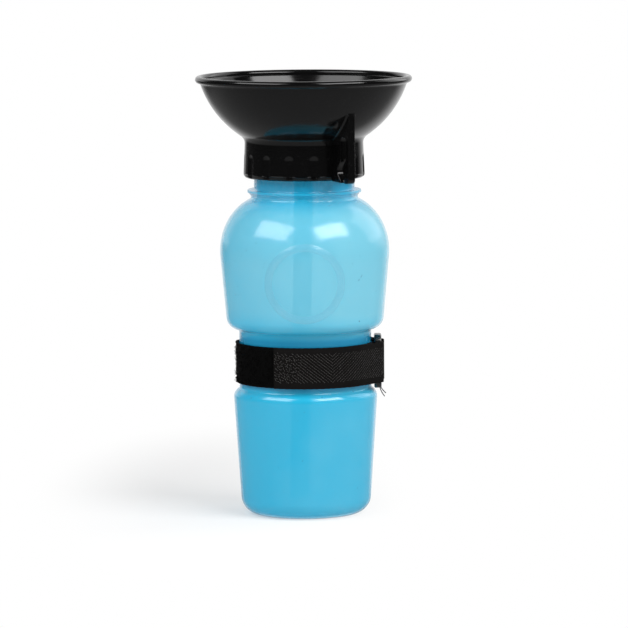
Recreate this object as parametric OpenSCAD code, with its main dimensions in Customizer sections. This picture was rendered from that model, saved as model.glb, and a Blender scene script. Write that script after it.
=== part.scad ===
// Squeeze bottle with a drinking bowl for a dog on a walk.
// Pressing the bottle pushes water up the dip tube into the bowl. The bowl screws onto the
// neck by its fluted collar, hangs on a belt by a moulded clip, and a hook-and-loop strap
// with a rectangular ring runs round the waist of the bottle.
// Origin: bottle axis at the base plane. +Z is up, and the belt clip points along +X.

/* [Bottle] */
// Wall thickness of the moulded bottle
bottle_wall = 1; // [0.8:0.1:1.3]
// Height of the arched push-up under the base
pushup_h = 3.2; // [2:0.1:5]
// Outer radius of the flat ring that the bottle stands on
foot_ring_r = 23.5; // [22.5:0.5:24]
// Radius of the rounded edge between base and side
foot_round = 9; // [8:0.5:10]
// Radius of the lower body just under its shoulder
lower_r = 35.8; // [35:0.1:36.5]
// Height where the lower body's shoulder begins
lower_top_z = 58.5; // [56:0.5:60]
// Radius of the waist groove that the strap sits in
waist_r = 33; // [32.5:0.1:33.2]
// Height of the underside of the upper body
upper_bottom_z = 93.1; // [92.5:0.1:95]
// Radius of the upper body just above its lower edge
upper_foot_r = 39.3; // [38.5:0.1:40]
// Largest radius of the upper body, at the spring of the shoulder
upper_r = 42.2; // [41.5:0.1:43]
// Height where the domed shoulder springs from the side
shoulder_z = 132; // [130:0.5:133]
// Height of the domed shoulder if it ran up to a flat top
shoulder_rise = 28; // [27.5:0.1:28.5]
// Radius of the thumb ring moulded on the upper body
panel_r = 18; // [12:0.5:18]
// Height that the thumb ring stands off the wall
panel_relief = 0.5; // [0.3:0.05:0.8]

/* [Neck] */
// Outer radius of the neck inside the collar
neck_r = 25.1; // [24.8:0.1:25.3]
// Radius of the mouth
neck_bore_r = 23.6; // [22.5:0.1:23.8]
// Height of the neck's sealing face
neck_top_z = 185.2; // [185:0.05:185.2]
// Outer radius of the tamper flange under the collar
flange_r = 28.4; // [27.8:0.1:28.8]

/* [Bowl] */
// Outer radius of the bowl's rim bead
rim_r = 54; // [53.6:0.1:54.2]
// Height of the top of the rim
rim_top_z = 219.4; // [219:0.1:219.8]
// Thickness of the bowl's wall
bowl_wall = 2; // [1.6:0.1:2.4]
// Radius of curvature of the bowl's flank
flank_r = 51; // [50.8:0.1:51.2]
// Height of the bowl's floor
floor_z = 190; // [189.6:0.1:190.6]
// Radius of the outlet that the water comes up through
outlet_r = 3; // [2:0.1:3.4]

/* [Collar] */
// Outer radius of the collar at its foot
collar_r = 30.2; // [29.9:0.1:30.4]
// Draft angle by which the collar narrows upward
collar_draft = 2.3; // [1.5:0.1:2.5]
// Inner radius of the collar, over the thread
collar_bore_r = 26.9; // [26.8:0.1:27.2]
// Height of the collar's lower edge
collar_bottom_z = 168.7; // [168:0.1:169]
// Places round the collar; the clip takes one and finger flutes the rest
flute_count = 15; // [12:1:18]
// Depth of each finger flute
flute_depth = 0.8; // [0.4:0.1:1.1]

/* [Belt clip] */
// Thickness of the clip plate
clip_t = 4; // [3:0.5:5]
// Distance from the bottle axis to the clip's outer edge
clip_reach = 45; // [44.5:0.1:45.5]
// Width of the slot that a belt or pocket edge slides up into
clip_gap = 4.9; // [4.6:0.1:5]
// Distance from the bottle axis to the slot's inner side
clip_slot_r = 37.9; // [37.5:0.1:38]
// Height of the rounded top of the slot
clip_slot_top_z = 190.95; // [189:0.05:191.5]

/* [Dip tube] */
// Outer radius of the tube
tube_r = 4.75; // [4:0.05:5]
// Wall thickness of the tube
tube_wall = 0.9; // [0.6:0.1:1.2]
// Height of the tube's open lower end
tube_bottom_z = 8; // [6:0.5:20]
// Angle that the tube leans from upright
tube_lean = 1.1; // [0:0.1:1.3]

/* [Strap] */
// Width of the hook-and-loop tape
tape_w = 20; // [18:0.5:20.5]
// Height of the middle of the tape
tape_z = 76.5; // [76:0.5:77.5]
// Thickness of the soft loop tape
loop_t = 1.4; // [1.2:0.05:1.4]
// Thickness of the hook tape
hook_t = 1; // [0.8:0.05:1.05]
// How far the flap reaches round the front, seen from the ring's side
flap_end_angle = 116; // [80:1:130]
// Direction that the ring faces, from the belt clip
ring_direction = 58.5; // [50:0.5:70]

/* [Hidden] */
$fn = 96;

// Colours
bottle_blue = [0.29, 0.70, 0.86];
bowl_black = [0.10, 0.10, 0.11];
tube_blue = [0.22, 0.60, 0.80];
tape_black = [0.07, 0.07, 0.08];
weave_black = [0.14, 0.13, 0.13];
seal_grey = [0.80, 0.80, 0.78];
thread_grey = [0.30, 0.30, 0.31];

// Points along an arc from angle a0 to angle a1, in n steps
function arc(c, r, a0, a1, n) = [for (i = [0:n]) let (a = a0 + (a1 - a0) * i / n) c + r * [cos(a), sin(a)]];
// The same for an upright ellipse with half-widths rx and rz
function ellipse_arc(c, rx, rz, a0, a1, n) =
    [for (i = [0:n]) let (a = a0 + (a1 - a0) * i / n) c + [rx * cos(a), rz * sin(a)]];
function reversed(p) = [for (i = [len(p) - 1:-1:0]) p[i]];
// Raised-cosine hump: 1 at zero, 0 beyond plus or minus one
function hump(t) = abs(t) < 1 ? (1 + cos(180 * t)) / 2 : 0;

// ---- Bottle outline -------------------------------------------------------------------
// Every round is an arc with a fixed centre, so insetting the wall only changes its radius.
foot_ring_inner_r = 19.5;
dome_r = (foot_ring_inner_r^2 + pushup_h^2) / (2 * pushup_h);
lower_taper = 3.8;
lower_round = 5;
waist_round = 1.2;
upper_round = 6;
upper_waist_round = 1.5;
lower_round_c = [lower_r - lower_round * cos(lower_taper), lower_top_z + lower_round * sin(lower_taper)];
waist_low_c = [waist_r + waist_round,
               lower_round_c[1] + sqrt((lower_round + waist_round)^2
                                       - (waist_r + waist_round - lower_round_c[0])^2)];
waist_low_angle = atan2(waist_low_c[1] - lower_round_c[1], waist_low_c[0] - lower_round_c[0]);
upper_taper = 5;
upper_round_c = [upper_foot_r - upper_round * cos(upper_taper), upper_bottom_z + upper_round];
waist_high_c = [waist_r + upper_waist_round,
                upper_round_c[1] - sqrt((upper_round + upper_waist_round)^2
                                        - (waist_r + upper_waist_round - upper_round_c[0])^2)];
waist_high_angle = atan2(waist_high_c[1] - upper_round_c[1], waist_high_c[0] - upper_round_c[0]);
neck_root_r = 26.7;
shoulder_c_r = 18.4;
shoulder_half_w = upper_r - shoulder_c_r;
shoulder_start = -5.8;

// Angle at which an ellipse of half-width rx has come in to radius r
function ellipse_angle(rx, r) = acos((r - shoulder_c_r) / rx);

// Side of the bottle from the centre of the base up to the neck root, t inside the outer face
function bottle_side(t, neck) =
    let (dome_end = asin((t + dome_r - pushup_h) / (dome_r + t)))
    concat(
        arc([0, pushup_h - dome_r], dome_r + t, 90, dome_end, 6),
        arc([foot_ring_r, foot_round], foot_round - t, -90, -lower_taper, 12),
        arc(lower_round_c, lower_round - t, -lower_taper, waist_low_angle, 8),
        arc(waist_low_c, waist_round + t, 180 + waist_low_angle, 180, 4),
        arc(waist_high_c, upper_waist_round + t, 180, 180 + waist_high_angle, 5),
        arc(upper_round_c, upper_round - t, waist_high_angle, -upper_taper, 9),
        ellipse_arc([shoulder_c_r, shoulder_z], shoulder_half_w - t, shoulder_rise - t,
                    shoulder_start, ellipse_angle(shoulder_half_w - t, neck), 22));

// Neck above the shoulder: a step, the flange, then the plain wall under the collar
step_r = 27.3;
flange_z = 161.2;
flange_top_z = flange_z + 1.5;
edge = 0.4;
neck_outline = [
    [neck_root_r, flange_z - 0.9], [step_r, flange_z - 0.7], [step_r, flange_z],
    [flange_r - edge, flange_z], [flange_r, flange_z + edge],
    [flange_r, flange_top_z - edge], [flange_r - edge, flange_top_z],
    [neck_r + 0.6, flange_top_z], [neck_r, flange_top_z + 0.6],
    [neck_r, neck_top_z - edge], [neck_r - edge, neck_top_z],
    [neck_bore_r + edge, neck_top_z], [neck_bore_r, neck_top_z - edge]];

panel_z = upper_bottom_z + 24.9;
panel_line = 1.3;
panel_direction = -31.5;
side_foot = [upper_foot_r, upper_round_c[1] - upper_round * sin(upper_taper)];

// Thin skin over the upper body's side, from t_in inside the wall to t_out outside it
module side_skin(t_in, t_out) {
    skin_top = 15;
    rotate_extrude()
        polygon(concat(
            [side_foot - [t_in, 0]],
            ellipse_arc([shoulder_c_r, shoulder_z], shoulder_half_w - t_in, shoulder_rise - t_in,
                        shoulder_start, skin_top, 5),
            reversed(ellipse_arc([shoulder_c_r, shoulder_z], shoulder_half_w + t_out,
                                 shoulder_rise + t_out, shoulder_start, skin_top, 5)),
            [side_foot + [t_out, 0]]));
}

module thumb_ring() {
    intersection() {
        side_skin(bottle_wall / 2, panel_relief);
        rotate([0, 0, panel_direction])
            translate([upper_foot_r / 2, 0, panel_z])
                rotate([0, 90, 0])
                    difference() {
                        cylinder(r = panel_r, h = upper_r);
                        translate([0, 0, -1])
                            cylinder(r = panel_r - panel_line, h = upper_r + 2);
                    }
    }
}

module bottle() {
    color(bottle_blue)
    union() {
        rotate_extrude()
            polygon(concat(bottle_side(0, neck_root_r), neck_outline,
                           reversed(bottle_side(bottle_wall, neck_bore_r))));
        thumb_ring();
    }
}

// ---- Bowl, collar, spigot and belt clip: one moulding -----------------------------------
flank_c = [3.2, 232];
collar_round = 4.5;
collar_foot = [collar_r, collar_bottom_z + 1.9];
// The hollow round touches the collar's drafted side and the flank. Its centre lies on a line
// that runs along the side, collar_round away from it.
collar_out = [cos(collar_draft), sin(collar_draft)];
collar_up = [-sin(collar_draft), cos(collar_draft)];
collar_line = collar_foot + collar_round * collar_out - flank_c;
collar_rise = -collar_line * collar_up
    - sqrt((collar_line * collar_up)^2 - collar_line * collar_line + (flank_r + collar_round)^2);
collar_round_c = flank_c + collar_line + collar_rise * collar_up;
collar_round_angle = atan2(flank_c[1] - collar_round_c[1], flank_c[0] - collar_round_c[0]);
bead_r = 1.7;
bead_c = [rim_r - bead_r, rim_top_z - bead_r];
floor_round = 4;
floor_round_c = [flank_c[0] + sqrt((flank_r - bowl_wall - floor_round)^2
                                   - (flank_c[1] - floor_z - floor_round)^2),
                 floor_z + floor_round];
floor_round_angle = atan2(floor_round_c[1] - flank_c[1], floor_round_c[0] - flank_c[0]);
ceiling_z = 187.5;
boss_h = 3.4;
boss_r = 6.6;
boss_foot_r = 8.5;
spigot_bottom_z = 172;
tube_seat_z = 186;

collar_outline = [
    [collar_bore_r, collar_bottom_z], [collar_r - 1.6, collar_bottom_z], collar_foot];
outlet_outline = [
    [boss_foot_r, floor_z], [boss_r + 0.5, floor_z + boss_h - 1], [boss_r - 0.5, floor_z + boss_h],
    [outlet_r + edge, floor_z + boss_h], [outlet_r, floor_z + boss_h - edge], [outlet_r, tube_seat_z]];
spigot_outline = [
    [tube_r, tube_seat_z], [tube_r, spigot_bottom_z + edge], [tube_r + edge, spigot_bottom_z],
    [boss_r - edge, spigot_bottom_z], [boss_r, spigot_bottom_z + edge],
    [boss_r, ceiling_z], [collar_bore_r, ceiling_z]];

module bowl_shell() {
    rotate_extrude()
        polygon(concat(
            collar_outline,
            arc(collar_round_c, collar_round, 180 + collar_draft, collar_round_angle, 8),
            arc(flank_c, flank_r, collar_round_angle - 180, -18.5, 20),
            arc(bead_c, bead_r, -100, 180, 18),
            [bead_c - [bead_r, 0.5]],
            arc(flank_c, flank_r - bowl_wall, -17.6, floor_round_angle, 20),
            arc(floor_round_c, floor_round, floor_round_angle, -90, 5),
            outlet_outline, spigot_outline));
}

// One finger flute: a scoop up the collar's drafted side that ends in a rounded top
flute_scoop_r = 5;
flute_h = 7.8;
flute_phase = 2;
module flute(k) {
    rotate([0, 0, flute_phase + 360 * k / flute_count])
        translate([collar_foot[0] + flute_scoop_r - flute_depth, 0, collar_foot[1]])
            rotate([0, -collar_draft, 0]) {
                translate([0, 0, -3])
                    cylinder(r = flute_scoop_r, h = flute_h + 3);
                translate([0, 0, flute_h])
                    sphere(r = flute_scoop_r);
            }
}

// The clip's slot is open below. A bump on its springy outer leg faces a hollow in the inner
// leg, so that an edge pushed up past them stays in.
clip_bottom_z = 168;
clip_corner = 2.2;
clip_root_r = collar_r - 1.3;
clip_wall_r = flank_r - bowl_wall / 2;
clip_bump_z = 175.3;
clip_bump_span = 5.7;
clip_bump = 3.7;
clip_lip = 1.6;
clip_hollow_z = 174;
clip_hollow_span = 6;
clip_hollow = 3.4;
clip_slot_base_z = clip_slot_top_z - clip_gap / 2;

function clip_wall_angle(r) = -acos((r - flank_c[0]) / clip_wall_r);
function slot_inner(z) = clip_slot_r - clip_hollow * hump((z - clip_hollow_z) / clip_hollow_span);
function slot_outer(z) =
    let (side = clip_slot_r + clip_gap, b = hump((z - clip_bump_z) / clip_bump_span))
    z > clip_bump_z ? side - clip_bump * b : side - clip_bump + clip_lip - clip_lip * b;

module belt_clip() {
    slot_low_z = clip_bottom_z - 2;
    steps = 18;
    run = clip_slot_base_z - slot_low_z - 6;
    rotate([90, 0, 0])
        linear_extrude(clip_t, center = true)
            difference() {
                polygon(concat(
                    [[clip_root_r, collar_bottom_z + 0.9], [collar_r - 0.3, collar_bottom_z - 0.2]],
                    arc([clip_reach - clip_corner, clip_bottom_z + clip_corner], clip_corner, -90, 0, 6),
                    arc(flank_c, clip_wall_r, clip_wall_angle(clip_reach), clip_wall_angle(clip_root_r), 12)));
                polygon(concat(
                    [for (i = [0:steps]) let (z = slot_low_z + run * i / steps) [slot_outer(z), z]],
                    arc([clip_slot_r + clip_gap / 2, clip_slot_base_z], clip_gap / 2, 0, 180, 12),
                    [for (i = [steps:-1:0]) let (z = slot_low_z + run * i / steps) [slot_inner(z), z]]));
            }
}

module bowl() {
    color(bowl_black)
    difference() {
        union() {
            bowl_shell();
            belt_clip();
        }
        for (k = [1:flute_count - 1]) flute(k);
    }
}

// ---- Seal ring: clamped between the neck's sealing face and the bowl's underside --------
seal_outer_r = collar_bore_r - 0.5;
seal_inner_r = 21.5;
seal_gap = 0.05;
module seal_ring() {
    seal_h = ceiling_z - neck_top_z - seal_gap;
    color(seal_grey)
    rotate_extrude()
        translate([seal_inner_r, neck_top_z + seal_gap])
            polygon([[0, 0.3], [0.3, 0], [seal_outer_r - seal_inner_r - 0.3, 0],
                     [seal_outer_r - seal_inner_r, 0.3], [seal_outer_r - seal_inner_r, seal_h],
                     [0, seal_h]]);
}

// ---- Dip tube: pressed into the spigot, leaning a little --------------------------------
tube_pivot_z = 180;
tube_lean_direction = ring_direction - 180;
tube_top_z = tube_seat_z - 0.2;
module dip_tube() {
    color(tube_blue)
    translate([0, 0, tube_pivot_z])
        rotate([0, 0, tube_lean_direction])
            rotate([0, -tube_lean, 0])
                translate([0, 0, tube_bottom_z - tube_pivot_z])
                    difference() {
                        cylinder(r = tube_r, h = tube_top_z - tube_bottom_z);
                        translate([0, 0, -1])
                            cylinder(r = tube_r - tube_wall, h = tube_top_z - tube_bottom_z + 2);
                    }
}

// ---- Strap ------------------------------------------------------------------------------
// Drawn with the ring at +X, then turned to ring_direction. The tapes are bands along a
// centre line of arcs and straight runs: half_t moves a point to one side of that line.
ring_out = 3.2;
ring_bar_y = 5.95;
ring_bar_half_w = 1.8;
ring_bar_half_t = 1.55;
ring_bar_round = 1.3;
ring_half_h = 11.85;
ring_corner = 2.4;
strap_clear = 0.3;
wrap_r = 1.95;
ring_centre_r = waist_r + ring_out;
tape_low_z = tape_z - tape_w / 2;
strap_in_r = waist_r + strap_clear;

// Rounded rectangle with its middle at the origin
function round_rect(hx, hy, r) = concat(
    arc([hx - r, hy - r], r, 0, 90, 4), arc([r - hx, hy - r], r, 90, 180, 4),
    arc([r - hx, r - hy], r, 180, 270, 4), arc([hx - r, r - hy], r, 270, 360, 4));

module ring_bar(length) {
    linear_extrude(length, center = true)
        polygon(round_rect(ring_bar_half_t, ring_bar_half_w, ring_bar_round));
}

// The ring lying flat: four straight bars joined by four quarter bends
module flat_ring() {
    straight_x = ring_bar_y - ring_corner;
    straight_y = ring_half_h - ring_corner;
    for (side = [-1, 1]) {
        translate([side * ring_bar_y, 0, 0])
            rotate([90, 0, 0])
                ring_bar(2 * straight_y);
        translate([0, side * ring_half_h, 0])
            rotate([90, 0, 90])
                ring_bar(2 * straight_x);
    }
    for (bend = [[1, 1, 0], [-1, 1, 90], [-1, -1, 180], [1, -1, 270]])
        translate([bend[0] * straight_x, bend[1] * straight_y, 0])
            rotate([0, 0, bend[2]])
                rotate_extrude(angle = 90)
                    translate([ring_corner, 0])
                        polygon(round_rect(ring_bar_half_t, ring_bar_half_w, ring_bar_round));
}

module strap_ring() {
    color(bowl_black)
    rotate([0, 0, ring_direction])
        translate([ring_centre_r, 0, tape_z])
            rotate([90, 0, 90])
                flat_ring();
}

// Angle between the line of two circles' centres, d apart, and the radius to their common
// tangent: r is the sum of the radii where the tape crosses over, or else their difference
function tangent_angle(r, d) = acos(r / d);

// Front bar: the hook tape passes inside it, turns through the ring and comes back outside
front_bar = [ring_centre_r, -ring_bar_y];
front_d = norm(front_bar);
front_angle = atan2(front_bar[1], front_bar[0]);
hook_in_r = strap_in_r + hook_t / 2;
hook_wrap_r = wrap_r + hook_t / 2;
hook_in_angle = front_angle - tangent_angle(hook_in_r + hook_wrap_r, front_d);

// Rear bar: the loop tape's end is turned round it and sewn down in an eye, which has a
// little slack and hangs outward by it
eye_slack = 0.12;
rear_bar = [ring_centre_r + 0.08, ring_bar_y + 0.13];
rear_d = norm(rear_bar);
rear_angle = atan2(rear_bar[1], rear_bar[0]);
loop_r = strap_in_r + loop_t / 2;
loop_wrap_r = wrap_r + eye_slack + loop_t / 2;
loop_in_angle = rear_angle + tangent_angle(loop_r + loop_wrap_r, rear_d);
tail_r = loop_r + loop_t + 0.1;
tail_angle = rear_angle + tangent_angle(tail_r - loop_wrap_r, rear_d);
tail_end_angle = tail_angle + 17;

// The two tapes meet end to end under the flap
seam_angle = -50;
seam_gap = 0.2;

flap_t = hook_t + 0.1;
flap_r = strap_in_r + loop_t + 0.15 + flap_t / 2;
flap_wrap_r = wrap_r + flap_t / 2;
flap_angle = front_angle - tangent_angle(flap_r - flap_wrap_r, front_d);
flap_wrap_end = 12;
root_wrap_end = 118;

function loop_line(half_t) = concat(
    arc([0, 0], tail_r + half_t, tail_end_angle, tail_angle, 4),
    arc(rear_bar, loop_wrap_r + half_t, tail_angle, loop_in_angle - 180, 20),
    arc([0, 0], loop_r - half_t, loop_in_angle, 360 + seam_angle - seam_gap, 72));

function hook_line(half_t) = concat(
    arc([0, 0], hook_in_r - half_t, seam_angle + seam_gap, hook_in_angle, 9),
    arc(front_bar, hook_wrap_r + half_t, hook_in_angle + 180, root_wrap_end, 6));

function flap_line(half_t) = concat(
    arc(front_bar, flap_wrap_r + half_t, flap_wrap_end, flap_angle, 6),
    arc([0, 0], flap_r + half_t, flap_angle, -flap_end_angle, 22));

module tape(side_a, side_b) {
    rotate([0, 0, ring_direction])
        translate([0, 0, tape_low_z])
            linear_extrude(tape_w)
                polygon(concat(side_a, reversed(side_b)));
}

module strap_loop_tape() {
    color(tape_black)
    tape(loop_line(loop_t / 2), loop_line(-loop_t / 2));
}

module strap_hook_tape() {
    color(weave_black)
    tape(hook_line(hook_t / 2), hook_line(-hook_t / 2));
}

module strap_flap() {
    color(weave_black)
    tape(flap_line(flap_t / 2), flap_line(-flap_t / 2));
}

// Two rows of stitches that hold the eye's tail down
stitch_rows = 2;
stitches = 6;
stitch_l = 2.2;
stitch_w = 0.5;
stitch_bite = 0.2;
module strap_stitching() {
    stitch_pitch = (tape_w - 2) / stitches;
    color(thread_grey)
    for (row = [0:stitch_rows - 1], k = [0:stitches - 1])
        rotate([0, 0, ring_direction + tail_angle + 5 + 8 * row])
            translate([tail_r + loop_t / 2 - stitch_bite, -stitch_w / 2,
                       tape_low_z + 1 + stitch_pitch * (k + 0.5) - stitch_l / 2])
                cube([2 * stitch_bite, stitch_w, stitch_l]);
}

bottle();
bowl();
seal_ring();
dip_tube();
strap_ring();
strap_loop_tape();
strap_hook_tape();
strap_flap();
strap_stitching();
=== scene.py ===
# %% [markdown]
# # A dog's squeeze water bottle
# The object is a cloudy blue squeeze bottle, a glossy black drinking bowl that screws onto it,
# and a hook-and-loop strap round the waist. The solids of the construction come first, as a
# fixed frame. Every visible piece is then a surface worked out with numpy in that same frame,
# because a surface given by a formula stays smooth at any size of grid and its dimensions can
# be read off the page. Sizes of the object are in millimetres here, and a mesh is in metres.

# %% Load the frame
import math
import bpy
import numpy as np
from mathutils import Matrix, Vector


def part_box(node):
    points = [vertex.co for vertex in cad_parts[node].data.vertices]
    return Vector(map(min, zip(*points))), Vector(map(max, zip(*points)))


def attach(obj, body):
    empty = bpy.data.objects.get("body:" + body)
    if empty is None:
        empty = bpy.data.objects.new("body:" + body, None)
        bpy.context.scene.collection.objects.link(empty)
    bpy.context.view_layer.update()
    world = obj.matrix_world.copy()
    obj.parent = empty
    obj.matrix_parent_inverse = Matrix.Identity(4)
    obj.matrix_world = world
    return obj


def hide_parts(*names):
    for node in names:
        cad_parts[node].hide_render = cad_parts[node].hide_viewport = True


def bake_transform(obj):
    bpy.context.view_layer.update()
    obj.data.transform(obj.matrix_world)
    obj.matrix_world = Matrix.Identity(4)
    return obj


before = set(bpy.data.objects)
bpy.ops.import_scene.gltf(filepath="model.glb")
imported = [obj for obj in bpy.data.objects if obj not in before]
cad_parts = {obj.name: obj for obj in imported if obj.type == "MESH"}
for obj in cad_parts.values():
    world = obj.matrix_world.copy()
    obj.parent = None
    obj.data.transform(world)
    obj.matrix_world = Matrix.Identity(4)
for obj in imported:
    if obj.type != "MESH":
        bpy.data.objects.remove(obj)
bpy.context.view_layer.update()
MM = 0.001
# Directions round the bottle, counted from the belt clip at +X
RING_AZIMUTH, THUMB_AZIMUTH = 58.5, -31.5
RING_DIRECTION, THUMB_DIRECTION = math.radians(RING_AZIMUTH), math.radians(THUMB_AZIMUTH)
print("frame:", sorted(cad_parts))

# %% [markdown]
# ## Small tools
# A mesh is a list of points and a list of faces. For a smooth surface both come from a grid:
# rows run along a profile and columns run round or along the piece. These helpers turn a grid
# into a mesh, and every later cell uses them, so that no piece needs a loop over its vertices.


# %% Helpers for profiles
def arc(centre, radius, start, end, steps):
    """Points on a circle: centre + radius * (cos a, sin a), with a from start to end in degrees."""
    a = np.radians(np.linspace(start, end, steps + 1))
    return np.array(centre) + np.array(radius) * np.column_stack([np.cos(a), np.sin(a)])


def join(*runs):
    """One profile from several runs of points, without the points that repeat at the joins."""
    points = np.vstack([np.atleast_2d(run) for run in runs])
    step = np.linalg.norm(np.diff(points, axis=0), axis=1)
    return points[np.concatenate([[True], step > 1e-4])]


def refine(profile, longest):
    """The same profile with points added on its long straight runs, at most `longest` apart."""
    out = [profile[:1]]
    for a, b in zip(profile[:-1], profile[1:]):
        pieces = max(1, int(math.ceil(np.linalg.norm(b - a) / longest)))
        share = np.linspace(0, 1, pieces + 1)[1:, None]
        out.append(a + (b - a) * share)
    return np.vstack(out)


def hump(t):
    """Raised cosine: (1 + cos(pi t)) / 2 between -1 and 1, and 0 outside."""
    return np.where(np.abs(t) < 1, (1 + np.cos(math.pi * np.clip(t, -1, 1))) / 2, 0)


print("a quarter circle in 8 steps:", len(arc((0, 0), 1, 0, 90, 8)), "points")


# %% Helpers for meshes
def grid_faces(rows, cols, wrap_rows=False, wrap_cols=False):
    """Quads between neighbours of a grid whose point (i, j) has the number i * cols + j."""
    i = np.arange(rows if wrap_rows else rows - 1)[:, None]
    j = np.arange(cols if wrap_cols else cols - 1)[None, :]
    i2, j2 = (i + 1) % rows, (j + 1) % cols
    corners = [i * cols + j, i * cols + j2, i2 * cols + j2, i2 * cols + j]
    return np.stack([np.broadcast_to(c, (len(i), j.size)) for c in corners], axis=-1).reshape(-1, 4)


def tube_faces(rows, cols, turned=False):
    """Quads of a tube whose rings have `cols` points, with one face over each end.

    They face outwards where each ring runs clockwise as seen from the next one, and `turned`
    is for rings that run the other way.
    """
    ends = [np.arange(cols)[::-1], np.arange(cols) + (rows - 1) * cols]
    faces = list(grid_faces(rows, cols, wrap_cols=True)) + ends
    return [face[::-1] for face in faces] if turned else faces


def revolve(profile, cols, radius_at=None):
    """Points and faces of a profile (r, z) turned about Z: (r cos a, r sin a, z).

    radius_at(r, z, a) may change the radius over the surface. A profile point on the axis
    becomes one point with a fan of triangles, so that the pole is closed.
    """
    a = np.linspace(0, 2 * math.pi, cols, endpoint=False)[None, :]
    r, z = profile[:, :1], profile[:, 1:]
    radius = r + 0 * a if radius_at is None else radius_at(r, z, a)
    points = np.stack([radius * np.cos(a), radius * np.sin(a), z + 0 * a], axis=-1)
    first, last = profile[0, 0] < 1e-6, profile[-1, 0] < 1e-6
    body = points[int(first):len(points) - int(last)]
    faces = list(grid_faces(len(body), cols, wrap_rows=not (first or last), wrap_cols=True))
    flat = body.reshape(-1, 3)
    ring = np.arange(cols)
    if first:
        pole = np.full(cols, len(flat))
        flat = np.vstack([flat, [0, 0, profile[0, 1]]])
        faces += list(np.stack([pole, np.roll(ring, -1), ring], axis=-1))
    if last:
        pole = np.full(cols, len(flat))
        flat = np.vstack([flat, [0, 0, profile[-1, 1]]])
        top = ring + (len(body) - 1) * cols
        faces += list(np.stack([pole, top, np.roll(top, -1)], axis=-1))
    return flat, faces


print("a tube of 3 rings of 4 points:", len(tube_faces(3, 4)), "faces")

# %% [markdown]
# A visible piece stands for a solid of the frame, or for a part of one. It moves with that
# solid's body and shows one material, and the solid itself is then left out of the picture.


# %% Helper for pieces
def make_piece(name, points, faces, body, slot, material, replaces=(), uv=None, smooth=True):
    """A mesh object from points in mm, that rides on a body and shows one material."""
    mesh = bpy.data.meshes.new(name)
    points = np.asarray(points, float).reshape(-1, 3) * MM
    sizes = np.array([len(face) for face in faces])
    corners = np.concatenate([np.asarray(face, int) for face in faces])
    mesh.vertices.add(len(points))
    mesh.vertices.foreach_set("co", points.ravel())
    mesh.loops.add(len(corners))
    mesh.loops.foreach_set("vertex_index", corners)
    mesh.polygons.add(len(sizes))
    mesh.polygons.foreach_set("loop_start", np.concatenate([[0], np.cumsum(sizes)[:-1]]))
    mesh.update(calc_edges=True)
    if uv is not None:
        layer = mesh.uv_layers.new(name="along_and_across")
        layer.data.foreach_set("uv", np.asarray(uv, float).reshape(-1, 2)[corners].ravel())
    mesh.polygons.foreach_set("use_smooth", np.full(len(sizes), smooth))
    piece = bpy.data.objects.new(name, mesh)
    bpy.context.collection.objects.link(piece)
    mesh.materials.append(material)
    if body is not None:
        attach(piece, body)
    if replaces:
        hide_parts(*replaces)
    print(f"{name}: {len(points)} points, {len(sizes)} faces")
    return piece


# %% [markdown]
# ## Camera, floor and light
# The bottle is seen from a little above, through a long lens, so its upright sides stay nearly
# parallel. The lens follows from the scale: so many pixels to a millimetre at the bottle's
# axis, seen from a fixed distance.

# %% Camera
CAMERA_AZIMUTH = 58.5
CAMERA_ELEVATION = 6.1
CAMERA_DISTANCE = 2.5
CAMERA_ROLL = -0.38
PIXELS_PER_MM = 2.0
FRAME_PIXELS = 628
SENSOR_MM = 36.0
AIM_HEIGHT = 100.0 * MM
AIM_RIGHT = 4.45 * MM
NEAR, FAR = 0.1, 100.0


def camera_axes(azimuth, elevation):
    """Unit vectors right, up and back of a camera; azimuth 0 looks along +Y."""
    a, e = math.radians(azimuth), math.radians(elevation)
    back = np.array([math.sin(a) * math.cos(e), -math.cos(a) * math.cos(e), math.sin(e)])
    right = np.array([math.cos(a), math.sin(a), 0.0])
    return right, np.cross(back, right), back


def add_camera():
    """A camera whose picture has PIXELS_PER_MM pixels to a millimetre at the bottle's axis."""
    right, up, back = camera_axes(CAMERA_AZIMUTH, CAMERA_ELEVATION)
    data = bpy.data.cameras.new("camera")
    data.sensor_width = SENSOR_MM
    data.lens = PIXELS_PER_MM / MM * CAMERA_DISTANCE / FRAME_PIXELS * SENSOR_MM
    data.clip_start, data.clip_end = NEAR, FAR
    camera = bpy.data.objects.new("camera", data)
    place = np.array([0, 0, AIM_HEIGHT]) + right * AIM_RIGHT + back * CAMERA_DISTANCE
    turn = Matrix(np.column_stack([right, up, back]).tolist())
    roll = Matrix.Rotation(math.radians(CAMERA_ROLL), 3, "Z")
    camera.matrix_world = Matrix.Translation(place.tolist()) @ (turn @ roll).to_4x4()
    bpy.context.collection.objects.link(camera)
    bpy.context.scene.camera = camera
    print("lens", round(data.lens, 1), "mm")


add_camera()

# %% [markdown]
# ### Shader nodes in one line each
# A material is a tree of small nodes. Most of them are sums, ramps and clouds of noise, and
# each of these gets a helper here, so that a material reads like a formula.


# %% Helpers for shader nodes
def node(tree, kind, inputs=None, **settings):
    """Adds a shader node, sets its options, and fills or links the inputs that are given."""
    made = tree.nodes.new(kind)
    for key, value in settings.items():
        setattr(made, key, value)
    for key, value in (inputs or {}).items():
        if isinstance(value, bpy.types.NodeSocket):
            tree.links.new(value, made.inputs[key])
        else:
            made.inputs[key].default_value = value
    return made


def object_place(tree):
    """The Object coordinates of the shaded point, in metres."""
    return node(tree, "ShaderNodeTexCoord").outputs["Object"]


def math_of(tree, kind, a, b=0.0, clamp=False):
    """The result of a Math node, which may be held between 0 and 1."""
    return node(tree, "ShaderNodeMath", {0: a, 1: b}, operation=kind, use_clamp=clamp).outputs[0]


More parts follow.
